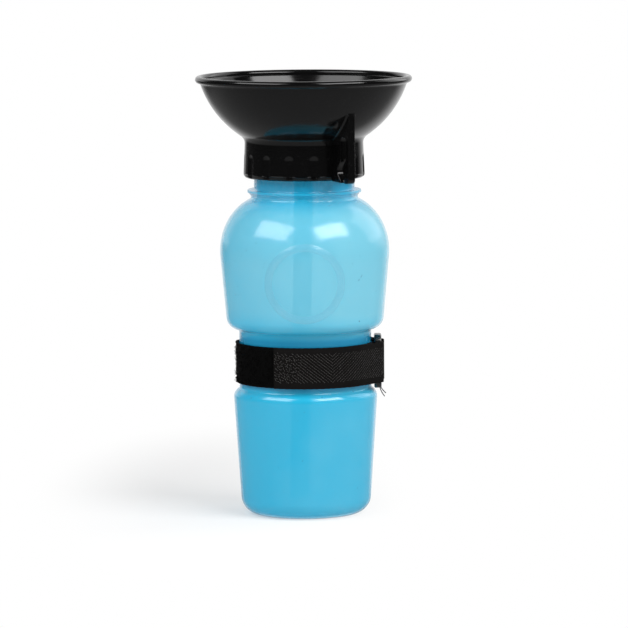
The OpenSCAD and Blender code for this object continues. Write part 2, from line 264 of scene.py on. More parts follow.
def vector_of(tree, kind, a, b=(0, 0, 0)):
    """The result of a Vector Math node: a number for a dot product or a length, else a vector."""
    made = node(tree, "ShaderNodeVectorMath", {0: a, 1: b}, operation=kind)
    return made.outputs["Value" if kind in ("DOT_PRODUCT", "LENGTH") else "Vector"]


def scaled(tree, vector, factor):
    """A vector times a number."""
    return node(tree, "ShaderNodeVectorMath", {0: vector, "Scale": factor}, operation="SCALE").outputs[0]


def ramp(tree, value, start, end, low=0.0, high=1.0, soft=True):
    """Maps start..end to low..high, softly or in a straight line, and holds the ends beyond."""
    inputs = {"Value": value, "From Min": start, "From Max": end, "To Min": low, "To Max": high}
    kind = "SMOOTHSTEP" if soft else "LINEAR"
    return node(tree, "ShaderNodeMapRange", inputs, interpolation_type=kind).outputs[0]


def span(tree, mask, low, high):
    """Maps a mask from 0..1 to low..high in a straight line."""
    return ramp(tree, mask, 0.0, 1.0, low, high, soft=False)


def mix_of(tree, share, a, b):
    """A number that is a where the share is 0 and b where it is 1."""
    return node(tree, "ShaderNodeMix", {0: share, 2: a, 3: b}).outputs[0]


def noise(tree, place, scale, detail, roughness=0.5):
    """Soft random clouds between 0 and 1."""
    inputs = {"Vector": place, "Scale": scale, "Detail": detail, "Roughness": roughness}
    return node(tree, "ShaderNodeTexNoise", inputs).outputs[0]


print("shader helpers for sums, ramps, mixes and noise")

# %% [markdown]
# ### Floor and surroundings
# The floor is one large sheet. Near the bottle it is a plain white surface that takes the
# shadow, and further out it fades into an even white, so that no horizon shows. The world is
# white to the camera and weaker where it only lights, which a Light Path node can do without
# pouring more light onto the object. In a mirror the side before the object is dim, as a room
# is behind the lamps, and that gives the black bowl its dark faces.

# %% Floor and world
FLOOR_HALF = 14.0
PAPER = (0.82, 0.82, 0.82, 1)
WHITE = (1, 1, 1, 1)
# The ellipse round the shadow: its middle to the camera's right and away from it, and its half
# sizes. Inside, the floor's own glow rises between two shares of its radius
SHADOW_SHIFT, SHADOW_BACK, SHADOW_HALF = -0.045, 0.07, (0.10, 0.30, 1.0)
FLOOR_GLOW, GLOW_EDGES = 0.38, (0.25, 1.0)
BOUNCE_SHARE, BOUNCE = 0.4, 1.2
WORLD_LIGHT = 0.32
# The mirror's view: direction of the white side, and for the room and the floor how dim the
# other side is and between which cosines it rises. The floor dims with distance, in metres
WHITE_AZIMUTH = 172.0
ROOM_DIM, ROOM_EDGES = 0.05, (0.42, 0.72)
FLOOR_DIM, FLOOR_EDGES, FLOOR_NEAR = 0.36, (0.70, 0.96), (0.45, 0.95)


def mirror_view(tree, direction, dim, edges):
    """Brightness in a mirror: white behind the object, and the dim side of the room before it.

    It rises from `dim` to 1 between two cosines of the angle to the white side.
    """
    side = camera_axes(CAMERA_AZIMUTH + WHITE_AZIMUTH, 0)[2]
    cosine = vector_of(tree, "DOT_PRODUCT", vector_of(tree, "NORMALIZE", direction), tuple(side))
    return ramp(tree, cosine, *edges, dim, 1.0)


def by_ray(tree, seen, mirrored, lit):
    """One number for camera and glass rays, one for mirror rays and one for rays that light."""
    path = node(tree, "ShaderNodeLightPath").outputs
    mirror = mix_of(tree, path["Is Glossy Ray"], lit, mirrored)
    straight = math_of(tree, "MAXIMUM", path["Is Camera Ray"], path["Is Transmission Ray"])
    return mix_of(tree, straight, mirror, seen)


def add_floor():
    """A white sheet at the base plane that glows evenly outside the ellipse round the shadow.

    A Mapping node of the kind Texture turns that ellipse into a circle of radius 1.
    """
    material = bpy.data.materials.new("floor_paper")
    material.use_nodes = True
    tree = material.node_tree
    tree.nodes.clear()
    place = object_place(tree)
    right, _, back = camera_axes(CAMERA_AZIMUTH, 0)
    ellipse = {"Vector": place, "Location": tuple(right * SHADOW_SHIFT - back * SHADOW_BACK),
               "Rotation": (0, 0, math.radians(CAMERA_AZIMUTH)), "Scale": SHADOW_HALF}
    inside = node(tree, "ShaderNodeMapping", ellipse, vector_type="TEXTURE").outputs[0]
    away = ramp(tree, vector_of(tree, "LENGTH", inside), *GLOW_EDGES, FLOOR_GLOW, 1.0)
    share = by_ray(tree, away, 1.0, BOUNCE_SHARE)
    dim = ramp(tree, vector_of(tree, "LENGTH", place), *FLOOR_NEAR, FLOOR_DIM, ROOM_DIM)
    strength = by_ray(tree, 1.0, mirror_view(tree, place, dim, FLOOR_EDGES), BOUNCE)
    paper = node(tree, "ShaderNodeBsdfDiffuse", {"Color": PAPER})
    glow = node(tree, "ShaderNodeEmission", {"Color": WHITE, "Strength": strength})
    mix = node(tree, "ShaderNodeMixShader", {0: share, 1: paper.outputs[0], 2: glow.outputs[0]})
    node(tree, "ShaderNodeOutputMaterial", {"Surface": mix.outputs[0]})
    mesh = bpy.data.meshes.new("floor")
    h = FLOOR_HALF
    mesh.from_pydata([(-h, -h, 0), (h, -h, 0), (h, h, 0), (-h, h, 0)], [], [(0, 1, 2, 3)])
    mesh.materials.append(material)
    floor = bpy.data.objects.new("floor", mesh)
    bpy.context.collection.objects.link(floor)
    print("floor:", 2 * h, "m square")


def add_world():
    """A white surrounding: strength 1 where it is seen, and weaker where it only lights."""
    world = bpy.data.worlds.new("studio")
    bpy.context.scene.world = world
    world.use_nodes = True
    tree = world.node_tree
    tree.nodes.clear()
    direction = node(tree, "ShaderNodeTexCoord").outputs["Generated"]
    strength = by_ray(tree, 1.0, mirror_view(tree, direction, ROOM_DIM, ROOM_EDGES), WORLD_LIGHT)
    white = node(tree, "ShaderNodeBackground", {"Color": WHITE, "Strength": strength})
    node(tree, "ShaderNodeOutputWorld", {"Surface": white.outputs[0]})


add_floor()
add_world()

# %% [markdown]
# ### Lamps
# Two large soft lamps stand in front, one to each side, and leave the two pale patches on the
# bottle's shoulder. A third, weak one brightens the bottle's right edge. A lamp's size sets
# the size of its patch, and its radiance sets how bright the patch is.

# %% Lamps
LAMP_DISTANCE = 1.0
LAMP_HEIGHT = 0.1
# Azimuth to the right of the camera and elevation in degrees, width and height in metres, and
# how many times white the lamp is in a mirror
LAMPS = {
    "lamp_left": (-53, 41, 0.85, 0.5, 5.0),
    "lamp_right": (45, 41, 0.75, 0.42, 8.0),
    "lamp_side": (120, 28, 0.7, 0.7, 1.4),
}


def add_lamp(name, azimuth, elevation, width, height, radiance):
    """A soft lamp that faces the bottle. Its power is radiance * pi * area."""
    data = bpy.data.lights.new(name, "AREA")
    data.shape, data.size, data.size_y = "RECTANGLE", width, height
    data.energy = radiance * math.pi * width * height
    lamp = bpy.data.objects.new(name, data)
    back = camera_axes(CAMERA_AZIMUTH + azimuth, elevation)[2]
    lamp.location = np.array([0, 0, LAMP_HEIGHT]) + back * LAMP_DISTANCE
    lamp.rotation_mode = "QUATERNION"
    lamp.rotation_quaternion = Vector(-back).to_track_quat("-Z", "Y")
    lamp.visible_camera = False
    bpy.context.collection.objects.link(lamp)
    print(f"{name}: {data.energy:.1f} W")


for lamp_name, values in LAMPS.items():
    add_lamp(lamp_name, *values)
bpy.context.scene.view_settings.view_transform = "Standard"

# %% [markdown]
# ## Finishes
# Moulded plastic is never quite even: the skin ripples a little as it cools, and handling
# leaves faint smears that change its gloss. Both effects are node groups, built once and used
# by each plastic with its own values. A group gives out only numbers that change over the
# surface, and each material keeps its own shader.


# %% Helpers for node groups
def new_group(name, inputs):
    """A shader node group with named number inputs, and the sockets that give them inside it."""
    tree = bpy.data.node_groups.new(name, "ShaderNodeTree")
    for label, value in inputs.items():
        socket = tree.interface.new_socket(label, in_out="INPUT", socket_type="NodeSocketFloat")
        socket.default_value = value
    return tree, node(tree, "NodeGroupInput").outputs


def give_out(tree, values):
    """Ends a group with one named output for each value."""
    for label in values:
        tree.interface.new_socket(label, in_out="OUTPUT", socket_type="NodeSocketFloat")
    node(tree, "NodeGroupOutput", values)
    print("group", tree.name, "gives", list(values))
    return tree


# %% Shared effects
SMEAR_STRETCH = (1, 1, 0.35)
SMEAR_EDGES = (0.42, 0.68)
SPECK_GAIN = 12.0


def build_moulded_skin():
    """Height = slow ripple of the cooled skin + fine grain, both from Object coordinates."""
    tree, given = new_group("moulded_skin", {"Ripple Scale": 60, "Grain Scale": 2500, "Grain Share": 0.3})
    place = object_place(tree)
    ripple = noise(tree, place, given["Ripple Scale"], 2.0)
    grain = noise(tree, place, given["Grain Scale"], 1.0)
    grain = math_of(tree, "MULTIPLY", grain, given["Grain Share"])
    return give_out(tree, {"Height": math_of(tree, "ADD", ripple, grain)})


def build_handling():
    """Smear = soft patches drawn out upwards; Specks = sparse dust; both between 0 and 1."""
    tree, given = new_group("handling", {"Smear Scale": 30, "Speck Scale": 900, "Speck Cut": 0.72})
    place = object_place(tree)
    long_way = node(tree, "ShaderNodeMapping", {"Vector": place, "Scale": SMEAR_STRETCH}).outputs[0]
    smear = noise(tree, long_way, given["Smear Scale"], 5.0, 0.65)
    dust = noise(tree, place, given["Speck Scale"], 0.0)
    above = math_of(tree, "SUBTRACT", dust, given["Speck Cut"])
    return give_out(tree, {"Smear": ramp(tree, smear, *SMEAR_EDGES, soft=False),
                           "Specks": math_of(tree, "MULTIPLY", above, SPECK_GAIN, clamp=True)})


MOULDED_SKIN = build_moulded_skin()
HANDLING = build_handling()

# %% [markdown]
# ### The blown wall, with painted shade and painted light
# A blow-moulded bottle starts as a soft tube of plastic that air presses into a mould. Where
# the mould is wide the wall is stretched thin and looks pale, and at the waist and the neck it
# stays thick and deep blue. That deep blue is also painted shade: at the waist for the shadow
# under the upper body and the strap, and on the neck for the shade under the collar. The side
# towards the ring, where the lamps are stronger, is made paler as painted light. A group works
# these out from the height and the side.

# %% Blown wall, painted shade and painted light
# Heights in metres: where the stretch fades towards the neck, and how far from the waist's
# middle the deep colour and its painted shade end. The neck's edge is soft over twice NECK_SOFT
SHOULDER_FADE = (0.149, 0.163)
WAIST_DEEP_SHADE_EDGE = (0.0112, 0.0142)
NECK_SOFT = 0.003
# Over how many metres to each side of the axis the painted light rises towards the ring's side
LIT_SIDE_REACH = 0.04
CLOUD_EDGES, CLOUD_DRIFT = (0.3, 0.7), 0.12
WALL_INPUTS = {"Body From": 0.089, "Body Full": 0.106, "Neck": 0.161, "Waist": 0.0775,
               "Lit Side Share": 0.2, "Cloud Scale": 26}


def build_wall_shade_and_light():
    """How far the wall was stretched, by height, with painted shade and painted light.

    The pale mask is 1 where the wall was stretched most, on the upper body, and painted light
    makes it paler towards the ring's side, where the lamps are stronger. The deep mask is 1 at
    the waist, where the wall is thickest and painted shade stands for the shadow under the upper
    body and the strap, and half that on the neck, as painted shade under the collar. Clear = 1
    where most shows through it: on the upper body, less on the neck and 0 below the waist.
    """
    tree, given = new_group("wall_shade_and_light", WALL_INPUTS)
    place = object_place(tree)
    height = node(tree, "ShaderNodeSeparateXYZ", {0: place}).outputs["Z"]
    clear = ramp(tree, height, given["Body From"], given["Body Full"])
    below_neck = ramp(tree, height, *SHOULDER_FADE, 1.0, 0.0)
    body = math_of(tree, "MULTIPLY", span(tree, clear, 0.1, 0.9), below_neck)
    cloud = noise(tree, place, given["Cloud Scale"], 2.0)
    drift = ramp(tree, cloud, *CLOUD_EDGES, -CLOUD_DRIFT, CLOUD_DRIFT, soft=False)
    # Painted light: the side towards the ring, where the lamps are stronger, is made paler.
    side = (math.cos(RING_DIRECTION), math.sin(RING_DIRECTION), 0)
    towards = vector_of(tree, "DOT_PRODUCT", place, side)
    lit_side = ramp(tree, towards, -LIT_SIDE_REACH, LIT_SIDE_REACH, -1.5, 1.0, soft=False)
    lit_side = math_of(tree, "MULTIPLY", lit_side, given["Lit Side Share"])
    thin_and_lit = math_of(tree, "ADD", body, math_of(tree, "ADD", drift, lit_side), clamp=True)
    # Painted shade: deeper blue round the waist's middle, for its thick wall and the shadow of the upper
    # body and the strap, and half as deep on the neck, for the shade under the collar.
    off_waist = math_of(tree, "ABSOLUTE", math_of(tree, "SUBTRACT", height, given["Waist"]))
    above_neck = math_of(tree, "SUBTRACT", height, given["Neck"])
    deep_and_shade = math_of(tree, "MAXIMUM", ramp(tree, off_waist, *WAIST_DEEP_SHADE_EDGE, 1.0, 0.0),
                   ramp(tree, above_neck, -NECK_SOFT, NECK_SOFT, 0.0, 0.5))
    see_in = math_of(tree, "MULTIPLY", clear, ramp(tree, above_neck, -NECK_SOFT, NECK_SOFT, 1.0, 0.3))
    return give_out(tree, {"Thin": thin_and_lit, "Deep And Shade": deep_and_shade, "Clear": see_in})


WALL_SHADE_AND_LIGHT = build_wall_shade_and_light()


# %% Helpers for materials
def new_material(name, **sockets):
    """A Principled material with plain values set on its own sockets."""
    material = bpy.data.materials.new(name)
    material.use_nodes = True
    shader = material.node_tree.nodes["Principled BSDF"]
    for label, value in sockets.items():
        shader.inputs[label.replace("_", " ")].default_value = value
    print("material", name)
    return material, material.node_tree, shader


def use_group(tree, group, **values):
    """Places a shared effect in a material, with its own values, and gives its outputs."""
    made = tree.nodes.new("ShaderNodeGroup")
    made.node_tree = group
    for label, value in values.items():
        made.inputs[label.replace("_", " ")].default_value = value
    return made.outputs


def feed(tree, shader, **values):
    """Links values that change over the surface to the shader's own sockets."""
    for label, value in values.items():
        tree.links.new(value, shader.inputs[label.replace("_", " ")])


def bump(tree, height, strength, distance):
    """A normal from a height, for the shader."""
    inputs = {"Height": height, "Strength": strength, "Distance": distance}
    return node(tree, "ShaderNodeBump", inputs).outputs[0]


def two_tone(tree, mask, low, high):
    """A colour that goes from low to high with a mask; low may be another node's colour."""
    first = low if isinstance(low, bpy.types.NodeSocket) else (*low, 1)
    return node(tree, "ShaderNodeMix", {0: mask, 6: first, 7: (*high, 1)}, data_type="RGBA").outputs[2]


# %% [markdown]
# ### Plastics
# The bottle is cloudy polyethylene: most light scatters in its wall, and the rest goes
# straight through, so the tube shows as a soft band and the far wall only faintly. An Alpha
# below one on both faces of the wall does that. The bowl is glossy black, and its skin is
# smooth enough to mirror the bottle's shoulder.

# %% Plastic materials
# The deep blue that the thick waist and neck are mixed towards, which is partly painted shade under the
# upper body, the strap and the collar
THICK_AND_SHADED_BLUE, THICK_AND_SHADED_SHARE = (0.004, 0.27, 0.52), 0.72
DUST_ON_BLUE = (0.03, 0.16, 0.24)
BLACK, DUST_ON_BLACK = (0.002, 0.002, 0.0021), (0.009, 0.009, 0.009)
# How much smoother and rougher than its middle value a skin is where it is clean and smeared
BLUE_SMEAR, BLACK_SMEAR = (-0.03, 0.04), (-0.04, 0.07)


def cloudy_plastic(name, thick, thin_and_lit, alpha_low, alpha_high, roughness):
    """Blow-moulded polyethylene: paler where the wall was stretched thin and, as painted light, on
    the ring's side; deeper where it is thick and, as painted shade, at the waist and the neck.

    The specular level makes up for what the Alpha above the waist takes from the gloss.
    """
    material, tree, shader = new_material(name, IOR=1.5, Specular_IOR_Level=0.5 / alpha_high)
    handling = use_group(tree, HANDLING, Smear_Scale=14, Speck_Scale=700, Speck_Cut=0.84)
    skin = use_group(tree, MOULDED_SKIN, Ripple_Scale=30, Grain_Scale=1500, Grain_Share=0.12)
    wall = use_group(tree, WALL_SHADE_AND_LIGHT)
    colour = two_tone(tree, wall["Thin"], thick, thin_and_lit)
    # Painted shade, with the thick wall: deeper blue at the waist and the neck, from the deep mask
    colour = two_tone(tree, span(tree, wall["Deep And Shade"], 0.0, THICK_AND_SHADED_SHARE), colour, THICK_AND_SHADED_BLUE)
    feed(tree, shader,
         Base_Color=two_tone(tree, handling["Specks"], colour, DUST_ON_BLUE),
         Alpha=span(tree, wall["Clear"], alpha_low, alpha_high),
         Roughness=span(tree, handling["Smear"], *(roughness + step for step in BLUE_SMEAR)),
         Normal=bump(tree, skin["Height"], strength=0.12, distance=0.0004))
    return material


def gloss_black(name, roughness, gloss):
    """Injection-moulded black plastic with faint smears and dust."""
    material, tree, shader = new_material(name, IOR=1.5, Specular_IOR_Level=gloss)
    handling = use_group(tree, HANDLING, Smear_Scale=26, Speck_Scale=1100, Speck_Cut=0.76)
    skin = use_group(tree, MOULDED_SKIN, Ripple_Scale=35, Grain_Scale=2600, Grain_Share=0.2)
    feed(tree, shader,
         Base_Color=two_tone(tree, handling["Specks"], BLACK, DUST_ON_BLACK),
         Roughness=span(tree, handling["Smear"], *(roughness + step for step in BLACK_SMEAR)),
         Normal=bump(tree, skin["Height"], strength=0.12, distance=0.0003))
    return material


BOTTLE_PLASTIC = cloudy_plastic("bottle_polyethylene", thick=(0.018, 0.515, 0.785), thin_and_lit=(0.20, 0.655, 0.82),
                                alpha_low=0.63, alpha_high=0.55, roughness=0.17)
BEAD_PLASTIC = cloudy_plastic("bead_polyethylene", thick=(0.22, 0.66, 0.83), thin_and_lit=(0.24, 0.68, 0.84),
                              alpha_low=0.32, alpha_high=0.32, roughness=0.24)
# The dip tube takes the bottle's masks: pale below the waist, darker on the upper body, and mixed towards
# deep blue at the waist and the neck as painted shade under the upper body and the bowl.
TUBE_PLASTIC = cloudy_plastic("tube_polyethylene", thick=(0.22, 0.60, 0.82), thin_and_lit=(0.05, 0.31, 0.57),
                              alpha_low=0.85, alpha_high=0.85, roughness=0.3)
BOWL_PLASTIC = gloss_black("bowl_black", roughness=0.15, gloss=0.38)
RING_PLASTIC = gloss_black("ring_black", roughness=0.26, gloss=0.9)

# %% [markdown]
# ## The bottle
# A blow-moulded bottle has one wall of nearly even thickness, so its inside follows its
# outside. The outline is written once, as arcs with fixed centres, and the inner face is the
# same outline moved in by the wall: only the radii change. Turning both about the upright
# axis gives a closed shell with a real inside.

# %% Bottle dimensions
WALL = 1.0
# The base arches up inside a flat ring, and a round leads to the side
BASE_ARCH = 3.2
STAND_IN, STAND_OUT = 19.5, 23.5
FOOT_ROUND = 9.0
# Lower body: radius and height of its top, taper in degrees, and the round of its shoulder
LOWER_R, LOWER_TOP, LOWER_TAPER, LOWER_ROUND = 35.8, 58.5, 3.8, 5.0
# Waist, with the hollow rounds at its foot and its top
WAIST_R, WAIST_ROUND, WAIST_TOP_ROUND = 33.0, 1.2, 1.5
# Upper body: its lower edge, then the quarter ellipse of the shoulder
UPPER_BOTTOM, UPPER_FOOT_R, UPPER_TAPER, UPPER_ROUND = 93.1, 39.3, 5.0, 6.0
UPPER_R, SHOULDER_Z, SHOULDER_RISE = 42.2, 132.0, 28.0
SHOULDER_MID_R, SHOULDER_START = 18.4, -5.8
# Neck, with the step and the flange under the collar
NECK_ROOT_R, NECK_R, NECK_BORE_R = 26.7, 25.1, 23.6
NECK_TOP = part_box("bottle")[1][2] / MM
STEP_R, FLANGE_R, FLANGE_Z, FLANGE_T = 27.3, 28.4, 161.2, 1.5
STEP_ROOT, STEP_LOW, STEP_HIGH, NECK_FILLET = 1.2, 0.7, 0.25, 0.6
SOFT_EDGE = 0.4
# Longest step along the outline, and the columns round it
BOTTLE_STEP, BOTTLE_COLS = 3.0, 256


def fillet(round_centre, round_radius, line_r, radius, side):
    """Centre of a round that touches the upright line r = line_r and a circle; side is +1 above."""
    r = line_r + radius
    reach = math.sqrt((round_radius + radius) ** 2 - (r - round_centre[0]) ** 2)
    return np.array([r, round_centre[1] + side * reach])


def angle_between(a, b):
    """Direction from point a to point b, in degrees."""
    return math.degrees(math.atan2(b[1] - a[1], b[0] - a[0]))


LOWER_C = np.array([LOWER_R - LOWER_ROUND * math.cos(math.radians(LOWER_TAPER)),
                    LOWER_TOP + LOWER_ROUND * math.sin(math.radians(LOWER_TAPER))])
UPPER_C = np.array([UPPER_FOOT_R - UPPER_ROUND * math.cos(math.radians(UPPER_TAPER)),
                    UPPER_BOTTOM + UPPER_ROUND])
WAIST_LOW_C = fillet(LOWER_C, LOWER_ROUND, WAIST_R, WAIST_ROUND, 1)
WAIST_HIGH_C = fillet(UPPER_C, UPPER_ROUND, WAIST_R, WAIST_TOP_ROUND, -1)
print("waist from", round(WAIST_LOW_C[1], 1), "to", round(WAIST_HIGH_C[1], 1), "mm")


# %% Bottle
def bottle_side(t, neck_r):
    """Outline from the middle of the base to the neck root, t inside the outer face.

    A bulging round has radius R - t and a hollow one R + t, about the same centre.
    """
    dome = (STAND_IN ** 2 + BASE_ARCH ** 2) / (2 * BASE_ARCH)
    dome_end = math.degrees(math.asin((t + dome - BASE_ARCH) / (dome + t)))
    low, high = angle_between(LOWER_C, WAIST_LOW_C), angle_between(UPPER_C, WAIST_HIGH_C)
    half = UPPER_R - SHOULDER_MID_R - t
    neck_angle = math.degrees(math.acos((neck_r - SHOULDER_MID_R) / half))
    return join(
        arc((0, BASE_ARCH - dome), dome + t, 90, dome_end, 12),
        arc((STAND_OUT, FOOT_ROUND), FOOT_ROUND - t, -90, -LOWER_TAPER, 14),
        arc(LOWER_C, LOWER_ROUND - t, -LOWER_TAPER, low, 10),
        arc(WAIST_LOW_C, WAIST_ROUND + t, 180 + low, 180, 6),
        arc(WAIST_HIGH_C, WAIST_TOP_ROUND + t, 180, 180 + high, 7),
        arc(UPPER_C, UPPER_ROUND - t, high, -UPPER_TAPER, 12),
        arc((SHOULDER_MID_R, SHOULDER_Z), (half, SHOULDER_RISE - t), SHOULDER_START, neck_angle, 36))


def neck_outline():
    """Step, flange and plain neck, with small soft edges, from the shoulder up and over the mouth."""
    top = FLANGE_Z + FLANGE_T
    e, f = SOFT_EDGE, NECK_FILLET
    return join(
        [[NECK_ROOT_R, FLANGE_Z - STEP_ROOT]], arc((STEP_R - e, FLANGE_Z - STEP_LOW), e, -60, 0, 3),
        [[STEP_R, FLANGE_Z - STEP_HIGH]], arc((FLANGE_R - e, FLANGE_Z + e), e, -90, 0, 4),
        arc((FLANGE_R - e, top - e), e, 0, 90, 4), arc((NECK_R + f, top + f), f, 270, 180, 4),
        arc((NECK_R - e, NECK_TOP - e), e, 0, 90, 4), arc((NECK_BORE_R + e, NECK_TOP - e), e, 90, 180, 4))


def build_bottle():
    """The shell: outer outline, over the mouth, and back down the inner outline."""
    outline = join(bottle_side(0, NECK_ROOT_R), neck_outline(), bottle_side(WALL, NECK_BORE_R)[::-1])
    points, faces = revolve(refine(outline, BOTTLE_STEP), BOTTLE_COLS)
    return make_piece("bottle_shell", points, faces, "bottle", "bottle_plastic", BOTTLE_PLASTIC, ["bottle"])


build_bottle()

# %% [markdown]
# ### Thumb ring
# A low bead in a circle marks where the thumb presses. Its centre line is a circle laid on the
# tapered side, and its section is a soft swell, which takes far fewer faces than carving it
# into the whole shell would.

# %% Thumb ring
THUMB_Z = UPPER_BOTTOM + 25.9
THUMB_R = 18.0
THUMB_HALF_W = 2.4
# How far the bead stands off the wall, how deep its edges start and how deep it is closed
THUMB_STAND, THUMB_EDGE, THUMB_SUNK = 0.34, 0.04, 0.3
TOP_POINTS, BACK_POINTS = 13, 5


def side_radius(z):
    """Outer radius of the upper body at height z, from the outline itself."""
    outline = bottle_side(0, NECK_ROOT_R)
    upper = outline[outline[:, 1] > UPPER_BOTTOM + 2]
    return np.interp(z, upper[:, 1], upper[:, 0])


def build_thumb_ring():
    """For angle b round the ring: z = Z + R sin b, turned by asin(R cos b / r) round the bottle.

    Across the bead it rises by a raised cosine, and a flat underside closes it in the wall.
    """
    b = np.linspace(0, 2 * math.pi, 180, endpoint=False)[:, None]
    across = np.concatenate([np.linspace(-1, 1, TOP_POINTS), np.linspace(1, -1, BACK_POINTS)])[None, :]
    top = np.arange(across.size)[None, :] < TOP_POINTS
    lift = np.where(top, THUMB_STAND * hump(across) - THUMB_EDGE, -THUMB_SUNK)
    out = THUMB_R + THUMB_HALF_W * across
    z = THUMB_Z + out * np.sin(b)
    r = side_radius(z)
    turn = THUMB_DIRECTION + np.arcsin(out * np.cos(b) / r)
    points = np.stack([(r + lift) * np.cos(turn), (r + lift) * np.sin(turn), z], axis=-1)
    faces = list(grid_faces(len(b), across.size, True, True))
    return make_piece("thumb_ring", points, faces, "bottle", "bottle_plastic", BEAD_PLASTIC, ["bottle"])


build_thumb_ring()

# %% [markdown]
# ### Screw thread
# The neck carries a single raised thread and the collar a matching one. Each is a small
# trapezium carried along a helix, fading out at both ends. The two sit half a pitch apart, so
# that they slide past each other as the bowl turns and rises by one pitch a turn.

# %% Threads
PITCH = 4.5
THREAD_START_Z, THREAD_START_ANGLE = 172.6, 0.4
THREAD_TURNS, COLLAR_TURNS = 1.6, 1.4
# The thread fades over a part of a turn, down to a small share of its height
FADE_TURNS, FADE_LEFT = 0.12, 0.02
THREAD_H, THREAD_SUNK, ROOT_HALF, CREST_HALF = 1.3, 0.25, 1.15, 0.55
STEPS_A_TURN = 96


def thread(radius, height, start_z, turns):
    """A trapezium of that height on a helix: z = start + pitch * turn, r = radius + height."""
    u = np.linspace(0, turns, int(turns * STEPS_A_TURN) + 1)[:, None]
    fade = np.clip(np.minimum(u, turns - u) / FADE_TURNS, FADE_LEFT, 1)
    half = np.array([-ROOT_HALF, -CREST_HALF, CREST_HALF, ROOT_HALF])[None, :]
    rise = np.array([-THREAD_SUNK, 1.0, 1.0, -THREAD_SUNK])[None, :]
    a = THREAD_START_ANGLE + 2 * math.pi * u
    r = radius + np.sign(height) * np.where(rise > 0, abs(height) * fade, rise)
    points = np.stack([r * np.cos(a), r * np.sin(a), start_z + PITCH * u + half], axis=-1)
    return points, tube_faces(len(u), 4, turned=height > 0)


neck_helix = thread(NECK_R, THREAD_H, THREAD_START_Z, THREAD_TURNS)
make_piece("neck_thread", *neck_helix, "bottle", "bottle_plastic", BOTTLE_PLASTIC, ["bottle"], smooth=False)

# %% [markdown]
# ## The bowl
# Bowl, collar and the spigot under the floor are one moulding of revolution, so one outline
# is turned about the axis. The finger flutes are scoops with rounded tops: where the straight
# line out from the axis would meet the scoop before the collar, the surface follows the scoop.

# %% Bowl dimensions
RIM_R, RIM_TOP = 54.0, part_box("bowl")[1][2] / MM
# The rim's bead, and the small round inside it that starts a little below the bead's middle
BEAD_R, BEAD_FILLET, BEAD_DROP = 1.7, 0.3, 0.5
# The flank is an arc; its outer and inner faces meet the bead at these angles
FLANK_C, FLANK_R, BOWL_WALL = np.array([3.2, 232.0]), 51.0, 2.0
FLANK_END, INNER_END = -18.5, -17.6
COLLAR_BORE_R, COLLAR_BOTTOM, COLLAR_ROUND, COLLAR_EDGE = 26.9, 168.7, 4.5, 1.9
COLLAR_FOOT, COLLAR_DRAFT = np.array([30.2, COLLAR_BOTTOM + COLLAR_EDGE]), math.radians(2.3)
FLOOR_Z, CEILING_Z, FLOOR_ROUND = 190.0, 187.5, 4.0
# The boss that the water comes up through, with its fillet, and the spigot below it
BOSS_R, BOSS_H, BOSS_ROUND, BOSS_FLARE, BOSS_FILLET = 6.6, 3.4, 1.0, 2.6, 1.2
OUTLET_R, TUBE_SEAT, TUBE_R, SPIGOT_Z = 3.0, 186.0, 4.75, 172.0
FLUTES, FLUTE_PHASE, SCOOP_R, FLUTE_DEPTH, FLUTE_H, FLUTE_SOFT = 15, 2.0, 5.0, 0.8, 7.8, 0.3
# Longest step along the outline, where the flutes cut it and elsewhere, and the columns: 26 a flute
FLUTE_STEP, BOWL_STEP, BOWL_COLS = 0.45, 2.5, 26 * FLUTES


